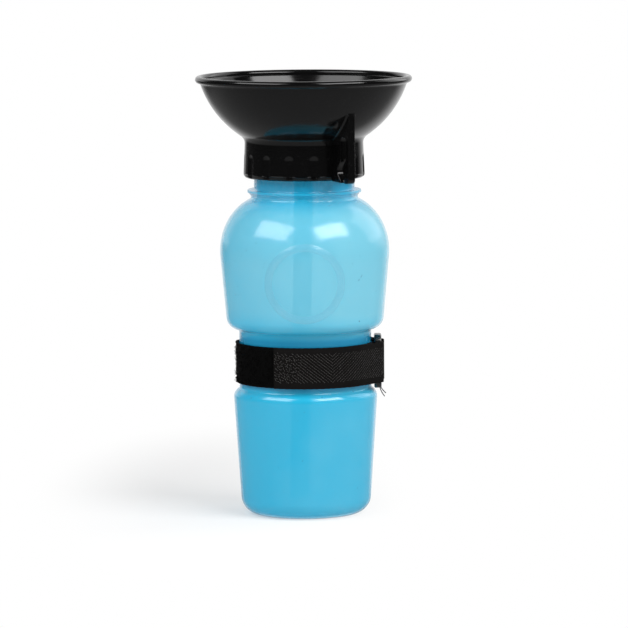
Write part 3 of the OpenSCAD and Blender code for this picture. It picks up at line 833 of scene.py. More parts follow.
def bowl_outline():
    """Collar, flank, rim bead, inside wall, floor, outlet, spigot and the ceiling over the neck."""
    e = SOFT_EDGE
    out = np.array([math.cos(COLLAR_DRAFT), math.sin(COLLAR_DRAFT)])
    up = np.array([-math.sin(COLLAR_DRAFT), math.cos(COLLAR_DRAFT)])
    line = COLLAR_FOOT + COLLAR_ROUND * out - FLANK_C
    rise = -line @ up - math.sqrt((line @ up) ** 2 - line @ line + (FLANK_R + COLLAR_ROUND) ** 2)
    collar_c = FLANK_C + line + rise * up
    draft = math.degrees(COLLAR_DRAFT)
    collar_end = angle_between(collar_c, FLANK_C)
    bead_c = np.array([RIM_R - BEAD_R, RIM_TOP - BEAD_R])
    inner = FLANK_R - BOWL_WALL
    floor_out = math.sqrt((inner - FLOOR_ROUND) ** 2 - (FLANK_C[1] - FLOOR_Z - FLOOR_ROUND) ** 2)
    floor_c = np.array([FLANK_C[0] + floor_out, FLOOR_Z + FLOOR_ROUND])
    floor_start = angle_between(FLANK_C, floor_c)
    return join(
        arc((COLLAR_BORE_R + e, COLLAR_BOTTOM + e), e, 180, 270, 4),
        arc(COLLAR_FOOT - [COLLAR_EDGE, 0], COLLAR_EDGE, -90, draft, 8),
        refine(np.array([COLLAR_FOOT, collar_c - COLLAR_ROUND * out]), FLUTE_STEP),
        refine(arc(collar_c, COLLAR_ROUND, 180 + draft, collar_end, 14), FLUTE_STEP),
        arc(FLANK_C, FLANK_R, collar_end - 180, FLANK_END, 40),
        arc(bead_c, BEAD_R, -100, 180, 28),
        arc(bead_c + [-BEAD_R - BEAD_FILLET, -BEAD_DROP], BEAD_FILLET, 0, -70, 3),
        arc(FLANK_C, inner, INNER_END, floor_start, 40),
        arc(floor_c, FLOOR_ROUND, floor_start, -90, 8),
        arc((BOSS_R + BOSS_FLARE, FLOOR_Z + BOSS_FILLET), BOSS_FILLET, 270, 200, 5),
        arc((BOSS_R - BOSS_ROUND, FLOOR_Z + BOSS_H - BOSS_ROUND), BOSS_ROUND, 25, 90, 5),
        arc((OUTLET_R + e, FLOOR_Z + BOSS_H - e), e, 90, 180, 4),
        [[OUTLET_R, TUBE_SEAT], [TUBE_R, TUBE_SEAT]],
        arc((TUBE_R + e, SPIGOT_Z + e), e, 180, 270, 3), arc((BOSS_R - e, SPIGOT_Z + e), e, 270, 360, 3),
        [[BOSS_R, CEILING_Z], [COLLAR_BORE_R, CEILING_Z], [COLLAR_BORE_R, COLLAR_BOTTOM + 1]])


print("bowl outline:", len(bowl_outline()), "points")


# %% Bowl
def fluted(r, z, a):
    """Radius of the collar with its flutes: r = D cos b - sqrt(S^2 - D^2 sin^2 b) in each scoop.

    b is the angle from the scoop's middle, D the distance of its centre, which leans in with
    the collar's draft, and S its radius, which shrinks as a sphere's does above the flute's
    straight part. Where the two surfaces meet, a smooth minimum rounds the edge. The belt
    clip stands at place 0.
    """
    radius = r + 0 * a
    pitch = 2 * math.pi / FLUTES
    turn = a - math.radians(FLUTE_PHASE)
    place = np.round(turn / pitch)
    b = turn - place * pitch
    above = z - COLLAR_FOOT[1]
    scoop = np.sqrt(np.clip(SCOOP_R ** 2 - np.clip(above - FLUTE_H, 0, None) ** 2, 0, None))
    far = COLLAR_FOOT[0] + SCOOP_R - FLUTE_DEPTH - np.minimum(above, FLUTE_H) * math.tan(COLLAR_DRAFT)
    inside = scoop ** 2 - (far * np.sin(b)) ** 2
    cut = far * np.cos(b) - np.sqrt(np.clip(inside, 0, None))
    outside = (r > COLLAR_BORE_R + 1) & (above < FLUTE_H + SCOOP_R) & (inside > 0) & (place % FLUTES != 0)
    near = np.clip(1 - np.abs(radius - cut) / FLUTE_SOFT, 0, None)
    return np.where(outside, np.minimum(radius, cut) - FLUTE_SOFT / 4 * near ** 2, radius)


bowl_surface = revolve(refine(bowl_outline(), BOWL_STEP), BOWL_COLS, fluted)
make_piece("bowl_moulding", *bowl_surface, "bowl", "bowl_plastic", BOWL_PLASTIC, ["bowl"])
collar_helix = thread(COLLAR_BORE_R, -THREAD_H, THREAD_START_Z + PITCH / 2, COLLAR_TURNS)
make_piece("collar_thread", *collar_helix, "bowl", "bowl_plastic", BOWL_PLASTIC, ["bowl"], smooth=False)

# %% [markdown]
# ### Belt clip
# The clip is a flat plate that stands out from the collar and the bowl's flank. Its slot is
# open below, with a bump on the springy outer leg that faces a hollow in the inner leg. The
# outline is drawn once in the plane of the plate, given its thickness, and its rim is rounded
# by a Bevel modifier, because a moulded plate has no sharp edges. A small hollow round joins
# each face of the plate to the flank, as the mould's tool leaves it.

# %% Belt clip
CLIP_T = 4.0
CLIP_REACH = 45.0
CLIP_GAP = 4.9
SLOT_R = 37.9
SLOT_BASE = 190.95 - CLIP_GAP / 2
CLIP_BOTTOM, CLIP_CORNER = 168.0, 2.2
CLIP_ROOT = np.array([[28.9, 169.6], [29.9, 168.5]])
# The bump on the outer leg: height, half width, how far it stands in, and the lip below it
BUMP_Z, BUMP_SPAN, BUMP, LIP = 175.3, 5.7, 3.7, 1.6
HOLLOW_Z, HOLLOW_SPAN, HOLLOW = 174.0, 6.0, 3.4
RIM_ROUND, RIM_ANGLE = 0.45, 50.0
FILLET_R, FILLET_SUNK, FILLET_ARC = 0.7, 0.3, (-56.5, -35.5)


def clip_outline():
    """Closed outline (r, z): inner leg, up the slot and down again, outer leg, and the flank."""
    wall = FLANK_R - BOWL_WALL / 2
    up = np.linspace(0, 1, 30)
    leg_end = np.interp(SLOT_R, [CLIP_ROOT[1, 0], CLIP_REACH - CLIP_CORNER], [CLIP_ROOT[1, 1], CLIP_BOTTOM])
    z_in = leg_end + (SLOT_BASE - leg_end) * up
    z_out = CLIP_BOTTOM + (SLOT_BASE - CLIP_BOTTOM) * up[::-1]
    slot_in = SLOT_R - HOLLOW * hump((z_in - HOLLOW_Z) / HOLLOW_SPAN)
    b = hump((z_out - BUMP_Z) / BUMP_SPAN)
    side = SLOT_R + CLIP_GAP
    slot_out = np.where(z_out > BUMP_Z, side - BUMP * b, side - BUMP + LIP - LIP * b)
    ends = [-math.degrees(math.acos((r - FLANK_C[0]) / wall)) for r in (CLIP_REACH, CLIP_ROOT[0, 0])]
    return join(
        CLIP_ROOT,
        np.column_stack([slot_in, z_in]),
        arc((SLOT_R + CLIP_GAP / 2, SLOT_BASE), CLIP_GAP / 2, 180, 0, 14),
        np.column_stack([slot_out, z_out]),
        arc((CLIP_REACH - CLIP_CORNER, CLIP_BOTTOM + CLIP_CORNER), CLIP_CORNER, -90, 0, 8),
        arc(FLANK_C, wall, *ends, 20))


def build_clip():
    """The outline at y = -t/2 and +t/2, joined by a rim of quads."""
    outline = clip_outline()
    n = len(outline)
    y = np.repeat([-CLIP_T / 2, CLIP_T / 2], n)
    points = np.column_stack([np.tile(outline[:, 0], 2), y, np.tile(outline[:, 1], 2)])
    ring = np.arange(n)
    rim = np.stack([ring, ring + n, np.roll(ring, -1) + n, np.roll(ring, -1)], axis=-1)
    faces = [ring, (ring + n)[::-1]] + list(rim)
    clip = make_piece("belt_clip", points, faces, "bowl", "bowl_plastic", BOWL_PLASTIC, ["bowl"])
    edge = clip.modifiers.new("rounded_rim", "BEVEL")
    edge.width, edge.segments, edge.limit_method = RIM_ROUND * MM, 3, "ANGLE"
    edge.angle_limit, edge.harden_normals = math.radians(RIM_ANGLE), True
    return clip


def build_clip_fillets():
    """A hollow round where each face of the plate meets the bowl's flank, carried along the flank.

    In the section, s counts from the plate and d from the flank: the round is the quarter
    circle about (f, f), and sunk points close it behind.
    """
    f, low = FILLET_R, -FILLET_SUNK
    angle = np.radians(np.linspace(*FILLET_ARC, 40))[:, None]
    section = np.vstack([arc((f, f), f, 180, 270, 6), [[f, low], [low, low], [low, f]]])
    s, d = section[None, :, 0] + 0 * angle, section[None, :, 1]
    r = FLANK_C[0] + (FLANK_R + d) * np.cos(angle)
    z = FLANK_C[1] + (FLANK_R + d) * np.sin(angle)
    points, faces = [], []
    for side in (-1, 1):
        strip = np.stack([r, side * (CLIP_T / 2 + s), z], axis=-1).reshape(-1, 3)
        faces += [face + len(strip) * len(points) for face in tube_faces(*s.shape, turned=side < 0)]
        points.append(strip)
    points = np.vstack(points)
    return make_piece("clip_fillets", points, faces, "bowl", "bowl_plastic", BOWL_PLASTIC, ["bowl"])


build_clip()
build_clip_fillets()

# %% [markdown]
# ## Seal and dip tube
# A pale seal ring is clamped between the neck and the bowl's ceiling; its solid is already
# the right shape, so it only gets a material. The dip tube is pressed into the spigot and
# leans a little, as a cut length of tube does, so it is turned about the axis first and then
# moved sideways in step with its depth.

# %% Seal ring
SEAL_DARK, SEAL_PALE = (0.62, 0.62, 0.60), (0.78, 0.78, 0.75)


def seal_material():
    """Silicone rubber: pale, soft and matt."""
    material, tree, shader = new_material("silicone", IOR=1.43)
    skin = use_group(tree, MOULDED_SKIN, Ripple_Scale=120, Grain_Scale=3000, Grain_Share=0.6)
    feed(tree, shader,
         Base_Color=two_tone(tree, skin["Height"], SEAL_DARK, SEAL_PALE),
         Roughness=span(tree, skin["Height"], 0.5, 0.7),
         Normal=bump(tree, skin["Height"], strength=0.2, distance=0.0002))
    return material


def paint_node(name, material):
    """Gives a solid that stays as it is a finished material."""
    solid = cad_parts[name]
    solid.data.materials.clear()
    solid.data.materials.append(material)
    print(name, "keeps its solid and gets", material.name)


paint_node("seal_ring", seal_material())

# %% Dip tube
TUBE_WALL, TUBE_EDGE = 0.9, 0.2
TUBE_STEP, TUBE_COLS = 12.0, 72
TUBE_BOTTOM, TUBE_TOP, TUBE_PIVOT, TUBE_LEAN = 8.0, 185.8, 180.0, 1.1
TUBE_DIRECTION = math.radians(RING_AZIMUTH - 180)


def build_tube():
    """A tube of revolution, then sheared towards its lean: x = x0 - (z - pivot) sin(lean)."""
    r0, r1, e = TUBE_R - TUBE_WALL, TUBE_R, TUBE_EDGE
    outline = join([[r0, TUBE_TOP], [r0, TUBE_BOTTOM + e]], arc((r0 + e, TUBE_BOTTOM + e), e, 180, 270, 2),
                   arc((r1 - e, TUBE_BOTTOM + e), e, 270, 360, 2), [[r1, TUBE_TOP - e]],
                   arc((r1 - e, TUBE_TOP - e), e, 0, 90, 2))
    points, faces = revolve(refine(outline, TUBE_STEP), TUBE_COLS)
    shift = -(points[:, 2] - TUBE_PIVOT) * math.sin(math.radians(TUBE_LEAN))
    points[:, 0] += shift * math.cos(TUBE_DIRECTION)
    points[:, 1] += shift * math.sin(TUBE_DIRECTION)
    return make_piece("tube_shell", points, faces, "bowl", "tube_plastic", TUBE_PLASTIC, ["dip_tube"])


build_tube()

# %% [markdown]
# ## The strap's ring
# The ring is a moulded bar of rounded section, bent round a rectangle with rounded corners.
# The section is carried along that path: a point of the section moves out from the path by u
# and across the ring's plane by w.

# %% Strap ring
# The strap is worked out with its ring at +X. RING_R is the distance of the ring's plane
RING_R, RING_BAR_Y, RING_HALF_H, RING_CORNER = WAIST_R + 3.2, 5.95, 11.85, 2.4
BAR_HALF_W, BAR_HALF_T, BAR_ROUND = 1.8, 1.55, 0.7
RING_STEP = 1.5
TAPE_Z, TAPE_W = 76.5, 20.3


def to_object(x, y, z):
    """Points given with the ring at +X, turned to where the ring faces."""
    c, s = math.cos(RING_DIRECTION), math.sin(RING_DIRECTION)
    return np.stack(np.broadcast_arrays(x * c - y * s, x * s + y * c, z), axis=-1)


def round_rect(half_x, half_y, radius, steps):
    """A rectangle with rounded corners, anticlockwise."""
    x, y = half_x - radius, half_y - radius
    corners = [((x, y), 0), ((-x, y), 90), ((-x, -y), 180), ((x, -y), 270)]
    return np.vstack([arc(c, radius, start, start + 90, steps) for c, start in corners])


def build_ring():
    """The bar's section carried round the rectangle; outward is the path's own normal."""
    path = join(round_rect(RING_BAR_Y, RING_HALF_H, RING_CORNER, 10), [[RING_BAR_Y, 0]])
    path = refine(path[:-1], RING_STEP)
    ahead = np.roll(path, -1, axis=0) - np.roll(path, 1, axis=0)
    out = np.column_stack([ahead[:, 1], -ahead[:, 0]])
    out /= np.linalg.norm(out, axis=1)[:, None]
    section = round_rect(BAR_HALF_T, BAR_HALF_W, BAR_ROUND, 6)
    u, w = section[None, :, 0], section[None, :, 1]
    y = path[:, :1] + out[:, :1] * u
    z = path[:, 1:] + out[:, 1:] * u
    faces = list(grid_faces(len(path), len(section), True, True)[:, ::-1])
    points = to_object(RING_R + w + 0 * y, y, TAPE_Z + z)
    return make_piece("ring_bar", points, faces, "strap", "ring_plastic", RING_PLASTIC, ["strap_ring"])


build_ring()

# %% [markdown]
# ## The strap's tapes
# Each tape is a flat band on edge. Seen from above, its centre line is an arc round the waist,
# a straight run that touches both circles, and a turn round one bar of the ring. A tape is
# modelled directly along that line, since cloth simulation would only blur such flat webbing:
# its rounded section is carried along the line, and the map that comes with it counts
# millimetres along and across, so that weave and thread follow the bends.

# %% Lines that the tapes follow
FRONT_BAR = np.array([RING_R, -RING_BAR_Y])
REAR_BAR = np.array([RING_R + 0.08, RING_BAR_Y + 0.13])
WAIST_CLEAR, WRAP_R = 0.3, 1.95
LOOP_T, HOOK_T, FLAP_T = 1.4, 1.0, 1.1
EYE_SLACK, TAIL_STEP, FLAP_GAP = 0.12, 1.5, 0.15
# Each tape's radius round the waist and round its bar, at the middle of its thickness. The
# thicknesses count the pile and the hooks
LOOP_R, LOOP_WRAP_R = WAIST_R + WAIST_CLEAR + LOOP_T / 2, WRAP_R + EYE_SLACK + LOOP_T / 2
HOOK_R, HOOK_WRAP_R = WAIST_R + WAIST_CLEAR + HOOK_T / 2, WRAP_R + HOOK_T / 2
TAIL_R = LOOP_R + TAIL_STEP
FLAP_R, FLAP_WRAP_R = WAIST_R + WAIST_CLEAR + LOOP_T + FLAP_GAP + FLAP_T / 2, WRAP_R + FLAP_T / 2
# Angles in degrees: where the tapes meet, where the flap and the sewn tail end, and where the
# fold begins and ends on the front bar
SEAM_ANGLE, SEAM_GAP, FLAP_END, TAIL_TURN = -50.0, 0.2, -116.0, 17.0
ROOT_WRAP, FLAP_WRAP = 118.0, 12.0
TAPE_STEP, ROOT_STEP = 1.2, 1.0


def bearing(point):
    """Distance of a point from the axis, and its direction in degrees."""
    return math.hypot(*point), math.degrees(math.atan2(point[1], point[0]))


def touch(radius, distance):
    """Angle from the line of centres to where a straight run touches both circles."""
    return math.degrees(math.acos(radius / distance))


def tape_lines():
    """Centre lines (x, y) of the loop tape, the hook tape's root, its fold and the flap."""
    front, front_at = bearing(FRONT_BAR)
    rear, rear_at = bearing(REAR_BAR)
    tail = rear_at + touch(TAIL_R - LOOP_WRAP_R, rear)
    loop_in = rear_at + touch(LOOP_R + LOOP_WRAP_R, rear)
    hook_in = front_at - touch(HOOK_R + HOOK_WRAP_R, front)
    flap_out = front_at - touch(FLAP_R - FLAP_WRAP_R, front)
    loop = join(arc((0, 0), TAIL_R, tail + TAIL_TURN, tail, 12),
                arc(REAR_BAR, LOOP_WRAP_R, tail, loop_in - 180, 30),
                arc((0, 0), LOOP_R, loop_in, 360 + SEAM_ANGLE - SEAM_GAP, 190))
    root = join(arc((0, 0), HOOK_R, SEAM_ANGLE + SEAM_GAP, hook_in, 24),
                arc(FRONT_BAR, HOOK_WRAP_R, hook_in + 180, ROOT_WRAP, 10))
    fold = arc(FRONT_BAR, HOOK_WRAP_R, ROOT_WRAP, FLAP_WRAP, 24)
    flap = join(arc((0, 0), FLAP_R, FLAP_END, flap_out, 84),
                arc(FRONT_BAR, FLAP_WRAP_R, flap_out, FLAP_WRAP, 12))
    print("tail at", round(tail, 1), "loop in at", round(loop_in, 1), "flap leaves at", round(flap_out, 1))
    return refine(loop, TAPE_STEP), refine(root, ROOT_STEP), fold, refine(flap, TAPE_STEP)


LOOP_LINE, ROOT_LINE, FOLD_LINE, FLAP_LINE = tape_lines()

# %% Tapes
UV_PER_MM = 0.004
EDGE_WAVE = 0.05
# How round a tape's edge is, as a share of half its thickness
EDGE_ROUND = 0.8


def frame_of(line):
    """Length along a line and its unit normal, a quarter turn clockwise from its direction."""
    ahead = np.gradient(line, axis=0)
    ahead /= np.linalg.norm(ahead, axis=1)[:, None]
    length = np.concatenate([[0], np.cumsum(np.linalg.norm(np.diff(line, axis=0), axis=1))])
    return length, np.column_stack([ahead[:, 1], -ahead[:, 0]])


def length_of(line):
    """The whole length of a line."""
    return frame_of(line)[0][-1]


def on_tape(line, along, off, across):
    """Object points of tape places: along the line, off its middle surface, across from TAPE_Z."""
    length, normal = frame_of(line)
    x, y, nx, ny = (np.interp(along, length, values) for values in (*line.T, *normal.T))
    return to_object(x + nx * off, y + ny * off, TAPE_Z + across)


def build_tape(name, line, half_t, body, slot, material, replaces, edge_wave=EDGE_WAVE):
    """Rounded section (off, across) carried along the line.

    The edges waver by edge_wave * sin(2.1 s + 0.7 sin(0.9 s)), which fades quickly inwards.
    """
    length, _ = frame_of(line)
    section = np.vstack([round_rect(half_t, TAPE_W / 2, half_t * EDGE_ROUND, 4), [[half_t, 0]]])
    section = np.roll(refine(section, 1.0)[:-1], 1, axis=0)
    along = length[:, None] + 0 * section[None, :, 0]
    side = np.sign(section[:, 1]) * (np.abs(section[:, 1]) / (TAPE_W / 2)) ** 6
    wave = np.sin(2.1 * length + 0.7 * np.sin(0.9 * length))
    across = section[None, :, 1] + edge_wave * side[None, :] * wave[:, None]
    points = on_tape(line, along, section[None, :, 0] + 0 * along, across)
    uv = np.stack([along, across], axis=-1) * UV_PER_MM
    faces = tube_faces(*along.shape, turned=True)
    return make_piece(name, points, faces, body, slot, material, replaces, uv=uv)


print("loop tape:", round(length_of(LOOP_LINE)), "mm, flap:", round(length_of(FLAP_LINE)), "mm")

# %% [markdown]
# ### Many small threads
# Pile, hooks, knots and stitches are all short bent threads that stand on a tape. One function
# works out all threads of a kind at once, as arrays of thread by step by side, and puts them
# in one mesh. Each is a tube of three or more sides, so even thousands stay light.


# %% Threads on a tape
def build_fibres(name, line, body, slot, material, replaces, along, across, off, lean, angle,
                 half_length, height, radius, sides=3, steps=4, end=1.0):
    """Many bent threads in one mesh.

    At t in 0..end a thread is at -l cos(pi t) along its own direction and h sin(pi t) off the
    tape. `lean` is the side of the tape, +1 or -1. Each value is one number or one per thread.
    """
    count = len(along)

    def each(value):
        """One number, or one per thread, as an array of thread by step by side."""
        return np.broadcast_to(np.asarray(value, float).reshape(-1, 1, 1), (count, 1, 1))

    t = math.pi * np.linspace(0, end, steps + 1)[None, :, None]
    ring = (2 * math.pi * np.arange(sides) / sides)[None, None, :]
    run, rise = -each(half_length) * np.cos(t), each(height) * np.sin(t)
    ahead, climb = each(half_length) * np.sin(t), each(height) * np.cos(t)
    size = np.hypot(ahead, climb) + 1e-9
    u, w = np.sin(ring) * each(radius), np.cos(ring) * each(radius)
    flat, up = run - w * (climb / size), rise + w * (ahead / size)
    cos, sin = np.cos(each(angle)), np.sin(each(angle))
    s = each(along) + flat * cos - u * sin
    z = each(across) + flat * sin + u * cos
    points = on_tape(line, s, each(lean) * (each(off) + up), z)
    first = (np.arange(count) * (steps + 1) * sides)[:, None, None]
    quads = grid_faces(steps + 1, sides, wrap_cols=True)[None] + first
    caps = np.stack([np.arange(sides)[::-1], np.arange(sides) + steps * sides])[None] + first
    turned = each(lean)[:, 0, 0] > 0
    quads[turned], caps[turned] = quads[turned][:, :, ::-1], caps[turned][:, :, ::-1]
    faces = list(quads.reshape(-1, 4)) + list(caps.reshape(-1, sides))
    uv = np.stack([s, z], axis=-1) * UV_PER_MM
    return make_piece(name, points, faces, body, slot, material, replaces, uv=uv)


def grid_of(*ranges):
    """All pairs of two rows of values, as two flat arrays."""
    return [values.ravel() for values in np.meshgrid(*ranges, indexing="ij")]


print("a three-sided thread of 4 steps:", len(tube_faces(5, 3)), "faces")

# %% [markdown]
# ### Cloth finishes
# The tapes' weave is a group that reads the map along the tape, so the threads turn round the
# bars with it. Which thread lies on top changes like a chessboard, and each thread is round,
# which gives a height for the bump and a mask for the shade between threads.

# %% Cloth materials
THREAD_MM = 0.55
FUZZ_SCALE = 2.3
LIT_EDGES = (0.2, 1.1)


def build_weave():
    """Plain weave from the map: |sin| of one direction where its thread is on top, else of the other."""
    tree, given = new_group("weave", {"Threads": 1 / (THREAD_MM * UV_PER_MM), "Fuzz": 0.25})
    place = node(tree, "ShaderNodeUVMap", uv_map="along_and_across").outputs[0]
    wide = scaled(tree, place, given["Threads"])
    wave = vector_of(tree, "SINE", scaled(tree, wide, math.pi))
    parts = node(tree, "ShaderNodeSeparateXYZ", {0: wave}).outputs
    over = math_of(tree, "GREATER_THAN", math_of(tree, "MULTIPLY", parts["X"], parts["Y"]))
    warp, weft = (math_of(tree, "ABSOLUTE", parts[axis]) for axis in "YX")
    loose = math_of(tree, "MULTIPLY", noise(tree, wide, FUZZ_SCALE, 2.0), given["Fuzz"])
    height = math_of(tree, "ADD", mix_of(tree, over, weft, warp), loose)
    return give_out(tree, {"Height": height, "Lit": ramp(tree, height, *LIT_EDGES, soft=False)})


WEAVE = build_weave()


def cloth(name, dark, light, roughness, gloss, fuzz=0.25):
    """A woven or brushed black cloth: shade between the threads, bump from the same weave."""
    material, tree, shader = new_material(name, IOR=1.45, Specular_IOR_Level=gloss)
    weave = use_group(tree, WEAVE, Fuzz=fuzz)
    feed(tree, shader,
         Base_Color=two_tone(tree, weave["Lit"], dark, light),
         Roughness=span(tree, weave["Lit"], roughness + 0.1, roughness - 0.1),
         Normal=bump(tree, weave["Height"], strength=0.6, distance=0.00012))
    return material


LOOP_CLOTH = cloth("loop_tape_cloth", dark=(0.0008, 0.0008, 0.0008), light=(0.002, 0.002, 0.002),
                   roughness=0.9, gloss=0.05, fuzz=0.9)
PILE = cloth("loop_pile", dark=(0.001, 0.001, 0.001), light=(0.004, 0.004, 0.004),
             roughness=0.85, gloss=0.08, fuzz=0.9)
HOOK_CLOTH = cloth("hook_tape_cloth", dark=(0.0024, 0.0022, 0.0021), light=(0.0075, 0.0068, 0.0066),
                   roughness=0.75, gloss=0.06)
FILAMENT = cloth("hook_filament", dark=(0.02, 0.02, 0.02), light=(0.085, 0.083, 0.08),
                 roughness=0.4, gloss=0.4)
THREAD = cloth("sewing_thread", dark=(0.02, 0.02, 0.02), light=(0.09, 0.09, 0.09),
               roughness=0.6, gloss=0.3)

# %% [markdown]
# ### Loop tape
# The soft half of the fastener is a knitted tape whose face is a pile of tiny loops. The tape
# is a band, and the loops are real: thousands of little arches in tufts, each a three-sided
# thread of four steps, because it is the loops standing at the edge that make the outline look
# like felt. Some are broken and stick out as short hairs.

# %% Loop tape and its pile
LOOP_HALF_T = 0.5
TUFTS, TUFT_LOOPS, TUFT_SPREAD = 1050, 5, 0.22
PILE_HAIRS = 1100
# The pile faces outwards all round. Up to EYE_END from the sewn end, which is the tail and its
# turn round the bar, that is the tape's other face. The pile is teased up most at EYE_MIDDLE,
# in the turn, and over EYE_SPAN to each side of it
EYE_END, EYE_MIDDLE, EYE_SPAN, EYE_PILE = 18.0, 12.3, 4.0, 1.0
# How deep the threads are rooted in the tape, how far from its edge they stop, and their radius
PILE_ROOT, PILE_EDGE, PILE_R = 0.12, 0.35, 0.075
HAIR_ROOT, HAIR_EDGE, HAIR_R, HAIR_CUT = 0.1, 0.3, 0.065, 0.62

build_tape("loop_tape", LOOP_LINE, LOOP_HALF_T, "strap", "loop_tape", LOOP_CLOTH, ["strap_loop_tape"])


def build_pile():
    """Arches in small tufts at random places, tallest where the eye turns round the bar."""
    rng = np.random.default_rng(11)
    total = length_of(LOOP_LINE)
    inner = TUFTS // 4
    tuft = np.concatenate([rng.uniform(EYE_END, total - 0.8, TUFTS), rng.uniform(0.8, EYE_END + 2, inner)])
    lean = np.concatenate([np.full(TUFTS, 1.0), np.full(inner, -1.0)]).repeat(TUFT_LOOPS)
    half = TAPE_W / 2 - PILE_EDGE
    middle = rng.uniform(-1, 1, len(tuft)) * half
    teased = EYE_PILE * hump((tuft - EYE_MIDDLE) / EYE_SPAN) * (1 - (middle / half) ** 2)
    tall = (rng.uniform(0.35, 0.8, len(tuft)) + teased).repeat(TUFT_LOOPS)
    n = len(lean)
    along = tuft.repeat(TUFT_LOOPS) + rng.normal(0, TUFT_SPREAD, n)
    across = np.clip(middle.repeat(TUFT_LOOPS) + rng.normal(0, TUFT_SPREAD, n), -half, half)
    return build_fibres("loop_pile", LOOP_LINE, "strap", "loop_tape", PILE, ["strap_loop_tape"],
                        along, across, LOOP_HALF_T - PILE_ROOT, lean, angle=rng.uniform(0, 2 * math.pi, n),
                        half_length=rng.uniform(0.2, 0.42, n), height=tall * rng.uniform(0.75, 1.0, n),
                        radius=PILE_R)


def build_hairs():
    """Broken loops: arches cut short near their top, so that they end in the air."""
    rng = np.random.default_rng(12)
    n = PILE_HAIRS
    along = rng.uniform(0.5, length_of(LOOP_LINE) - 0.6, n)
    lean = np.where(along > EYE_END - 1, 1.0, -1.0)
    across = rng.uniform(-1, 1, n) * (TAPE_W / 2 - HAIR_EDGE)
    return build_fibres("pile_hairs", LOOP_LINE, "strap", "loop_tape", PILE, ["strap_loop_tape"],
                        along, across, LOOP_HALF_T - HAIR_ROOT, lean, angle=rng.uniform(0, 2 * math.pi, n),
                        half_length=rng.uniform(0.3, 0.8, n), height=rng.uniform(0.7, 1.35, n),
                        radius=HAIR_R, end=HAIR_CUT)


build_pile()
build_hairs()

# %% [markdown]
# ### Hook tape
# The stiff half of the fastener is a woven nylon tape. It passes inside the ring's front bar,
# turns round it and lies back over the loops, so its smooth woven back faces out. The part
# round the bar is a piece of its own that rides on no body, and its centre line follows the
# bar's circle.

# %% Root, fold and flap
HOOK_HALF_T = 0.42

build_tape("hook_tape_root", ROOT_LINE, HOOK_HALF_T, "strap", "hook_tape", HOOK_CLOTH, ["strap_hook_tape"])
hook_fold = build_tape("hook_tape_fold", FOLD_LINE, HOOK_HALF_T, None, "hook_tape", HOOK_CLOTH,
                       ["strap_flap"], edge_wave=0.0)
build_tape("hook_tape_flap", FLAP_LINE, HOOK_HALF_T, "flap", "hook_tape", HOOK_CLOTH, ["strap_flap"])


def round_front_bar(angle):
    """Point on the fold's circle about the front bar, in metres."""
    x, y = FRONT_BAR + HOOK_WRAP_R * np.array([math.cos(math.radians(angle)), math.sin(math.radians(angle))])
    return tuple(to_object(x, y, TAPE_Z) * MM)


round_front_bar(ROOT_WRAP)
round_front_bar(FLAP_WRAP)
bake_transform(hook_fold)

# %% [markdown]
# The hooks are nylon filament woven through the tape. On the back each shows as a short slanted
# knot. The knots stand in diagonal rows that change direction half-way along, which gives the
# tape its herringbone look, and near the cut end they lie less evenly.

# %% Knots and hooks
KNOT_STEP, KNOT_ROW, KNOT_SLOPE = 0.85, 1.6, 0.8
CHEVRON_AT, SELVEDGE, KNOT_LIFT = 29.7, 2.6, 0.6
# How loosely the knots lie: everywhere, and how much more at the cut end, fading out by EVEN_AT
LOOSE, LOOSE_END, EVEN_AT, EVEN_SPAN = 0.07, 0.5, 16.0, 8.0
KNOT_ROOT = 0.06
HOOK_STEP, HOOK_ROWS, HOOK_JITTER = 1.15, np.arange(-8.4, 8.5, 1.2), 0.06
HOOK_ROOT, HOOK_THREAD_R, HOOK_CUT = 0.1, 0.075, 0.8


def build_knots():
    """Knot (i, j) stands at s = i * step and z = j * row + slope * |s - s0|, wrapped into the tape."""
    rng = np.random.default_rng(5)
    total = length_of(FLAP_LINE) - 0.8
    half = TAPE_W / 2 - SELVEDGE
    rows = int(2 * half / KNOT_ROW)
    s, j = grid_of(np.arange(0.9, total, KNOT_STEP), np.arange(rows))
    z = -half + (j * KNOT_ROW + KNOT_SLOPE * np.abs(s - CHEVRON_AT)) % (rows * KNOT_ROW)
    n = s.size
    loose = LOOSE + LOOSE_END * np.clip((EVEN_AT - s) / EVEN_SPAN, 0, 1)
    s = s + rng.normal(0, 1, n) * loose * 0.5
    z = np.clip(z + rng.normal(0, 1, n) * loose * 0.6, -half, half) + KNOT_LIFT
    angle = np.sign(s - CHEVRON_AT) * math.atan(KNOT_SLOPE) + rng.normal(0, 1, n) * loose
    return build_fibres("filament_knots", FLAP_LINE, "flap", "hook_tape", FILAMENT, ["strap_flap"],
                        np.clip(s, 0.6, total), z, HOOK_HALF_T - KNOT_ROOT, 1.0, angle,
                        half_length=rng.uniform(0.3, 0.44, n), height=rng.uniform(0.14, 0.24, n),
                        radius=rng.uniform(0.08, 0.13, n), sides=4)


def build_hooks(name, line, body, lean, margin, replaces):
    """Filament loops cut near the top, in rows along the tape, on the face that grips."""
    rng = np.random.default_rng(7)
    s, z = grid_of(np.arange(1.0, length_of(line) - margin, HOOK_STEP), HOOK_ROWS)
    n = s.size
    return build_fibres(name, line, body, "hook_tape", FILAMENT, replaces,
                        s + rng.normal(0, HOOK_JITTER, n), z + rng.normal(0, HOOK_JITTER, n),
                        HOOK_HALF_T - HOOK_ROOT, lean, angle=rng.normal(0, 0.25, n), half_length=0.28,
                        height=0.52, radius=HOOK_THREAD_R, end=HOOK_CUT)


build_knots()
build_hooks("flap_hooks", FLAP_LINE, "flap", -1.0, 8.0, ["strap_flap"])
build_hooks("root_hooks", ROOT_LINE, "strap", 1.0, 9.0, ["strap_hook_tape"])

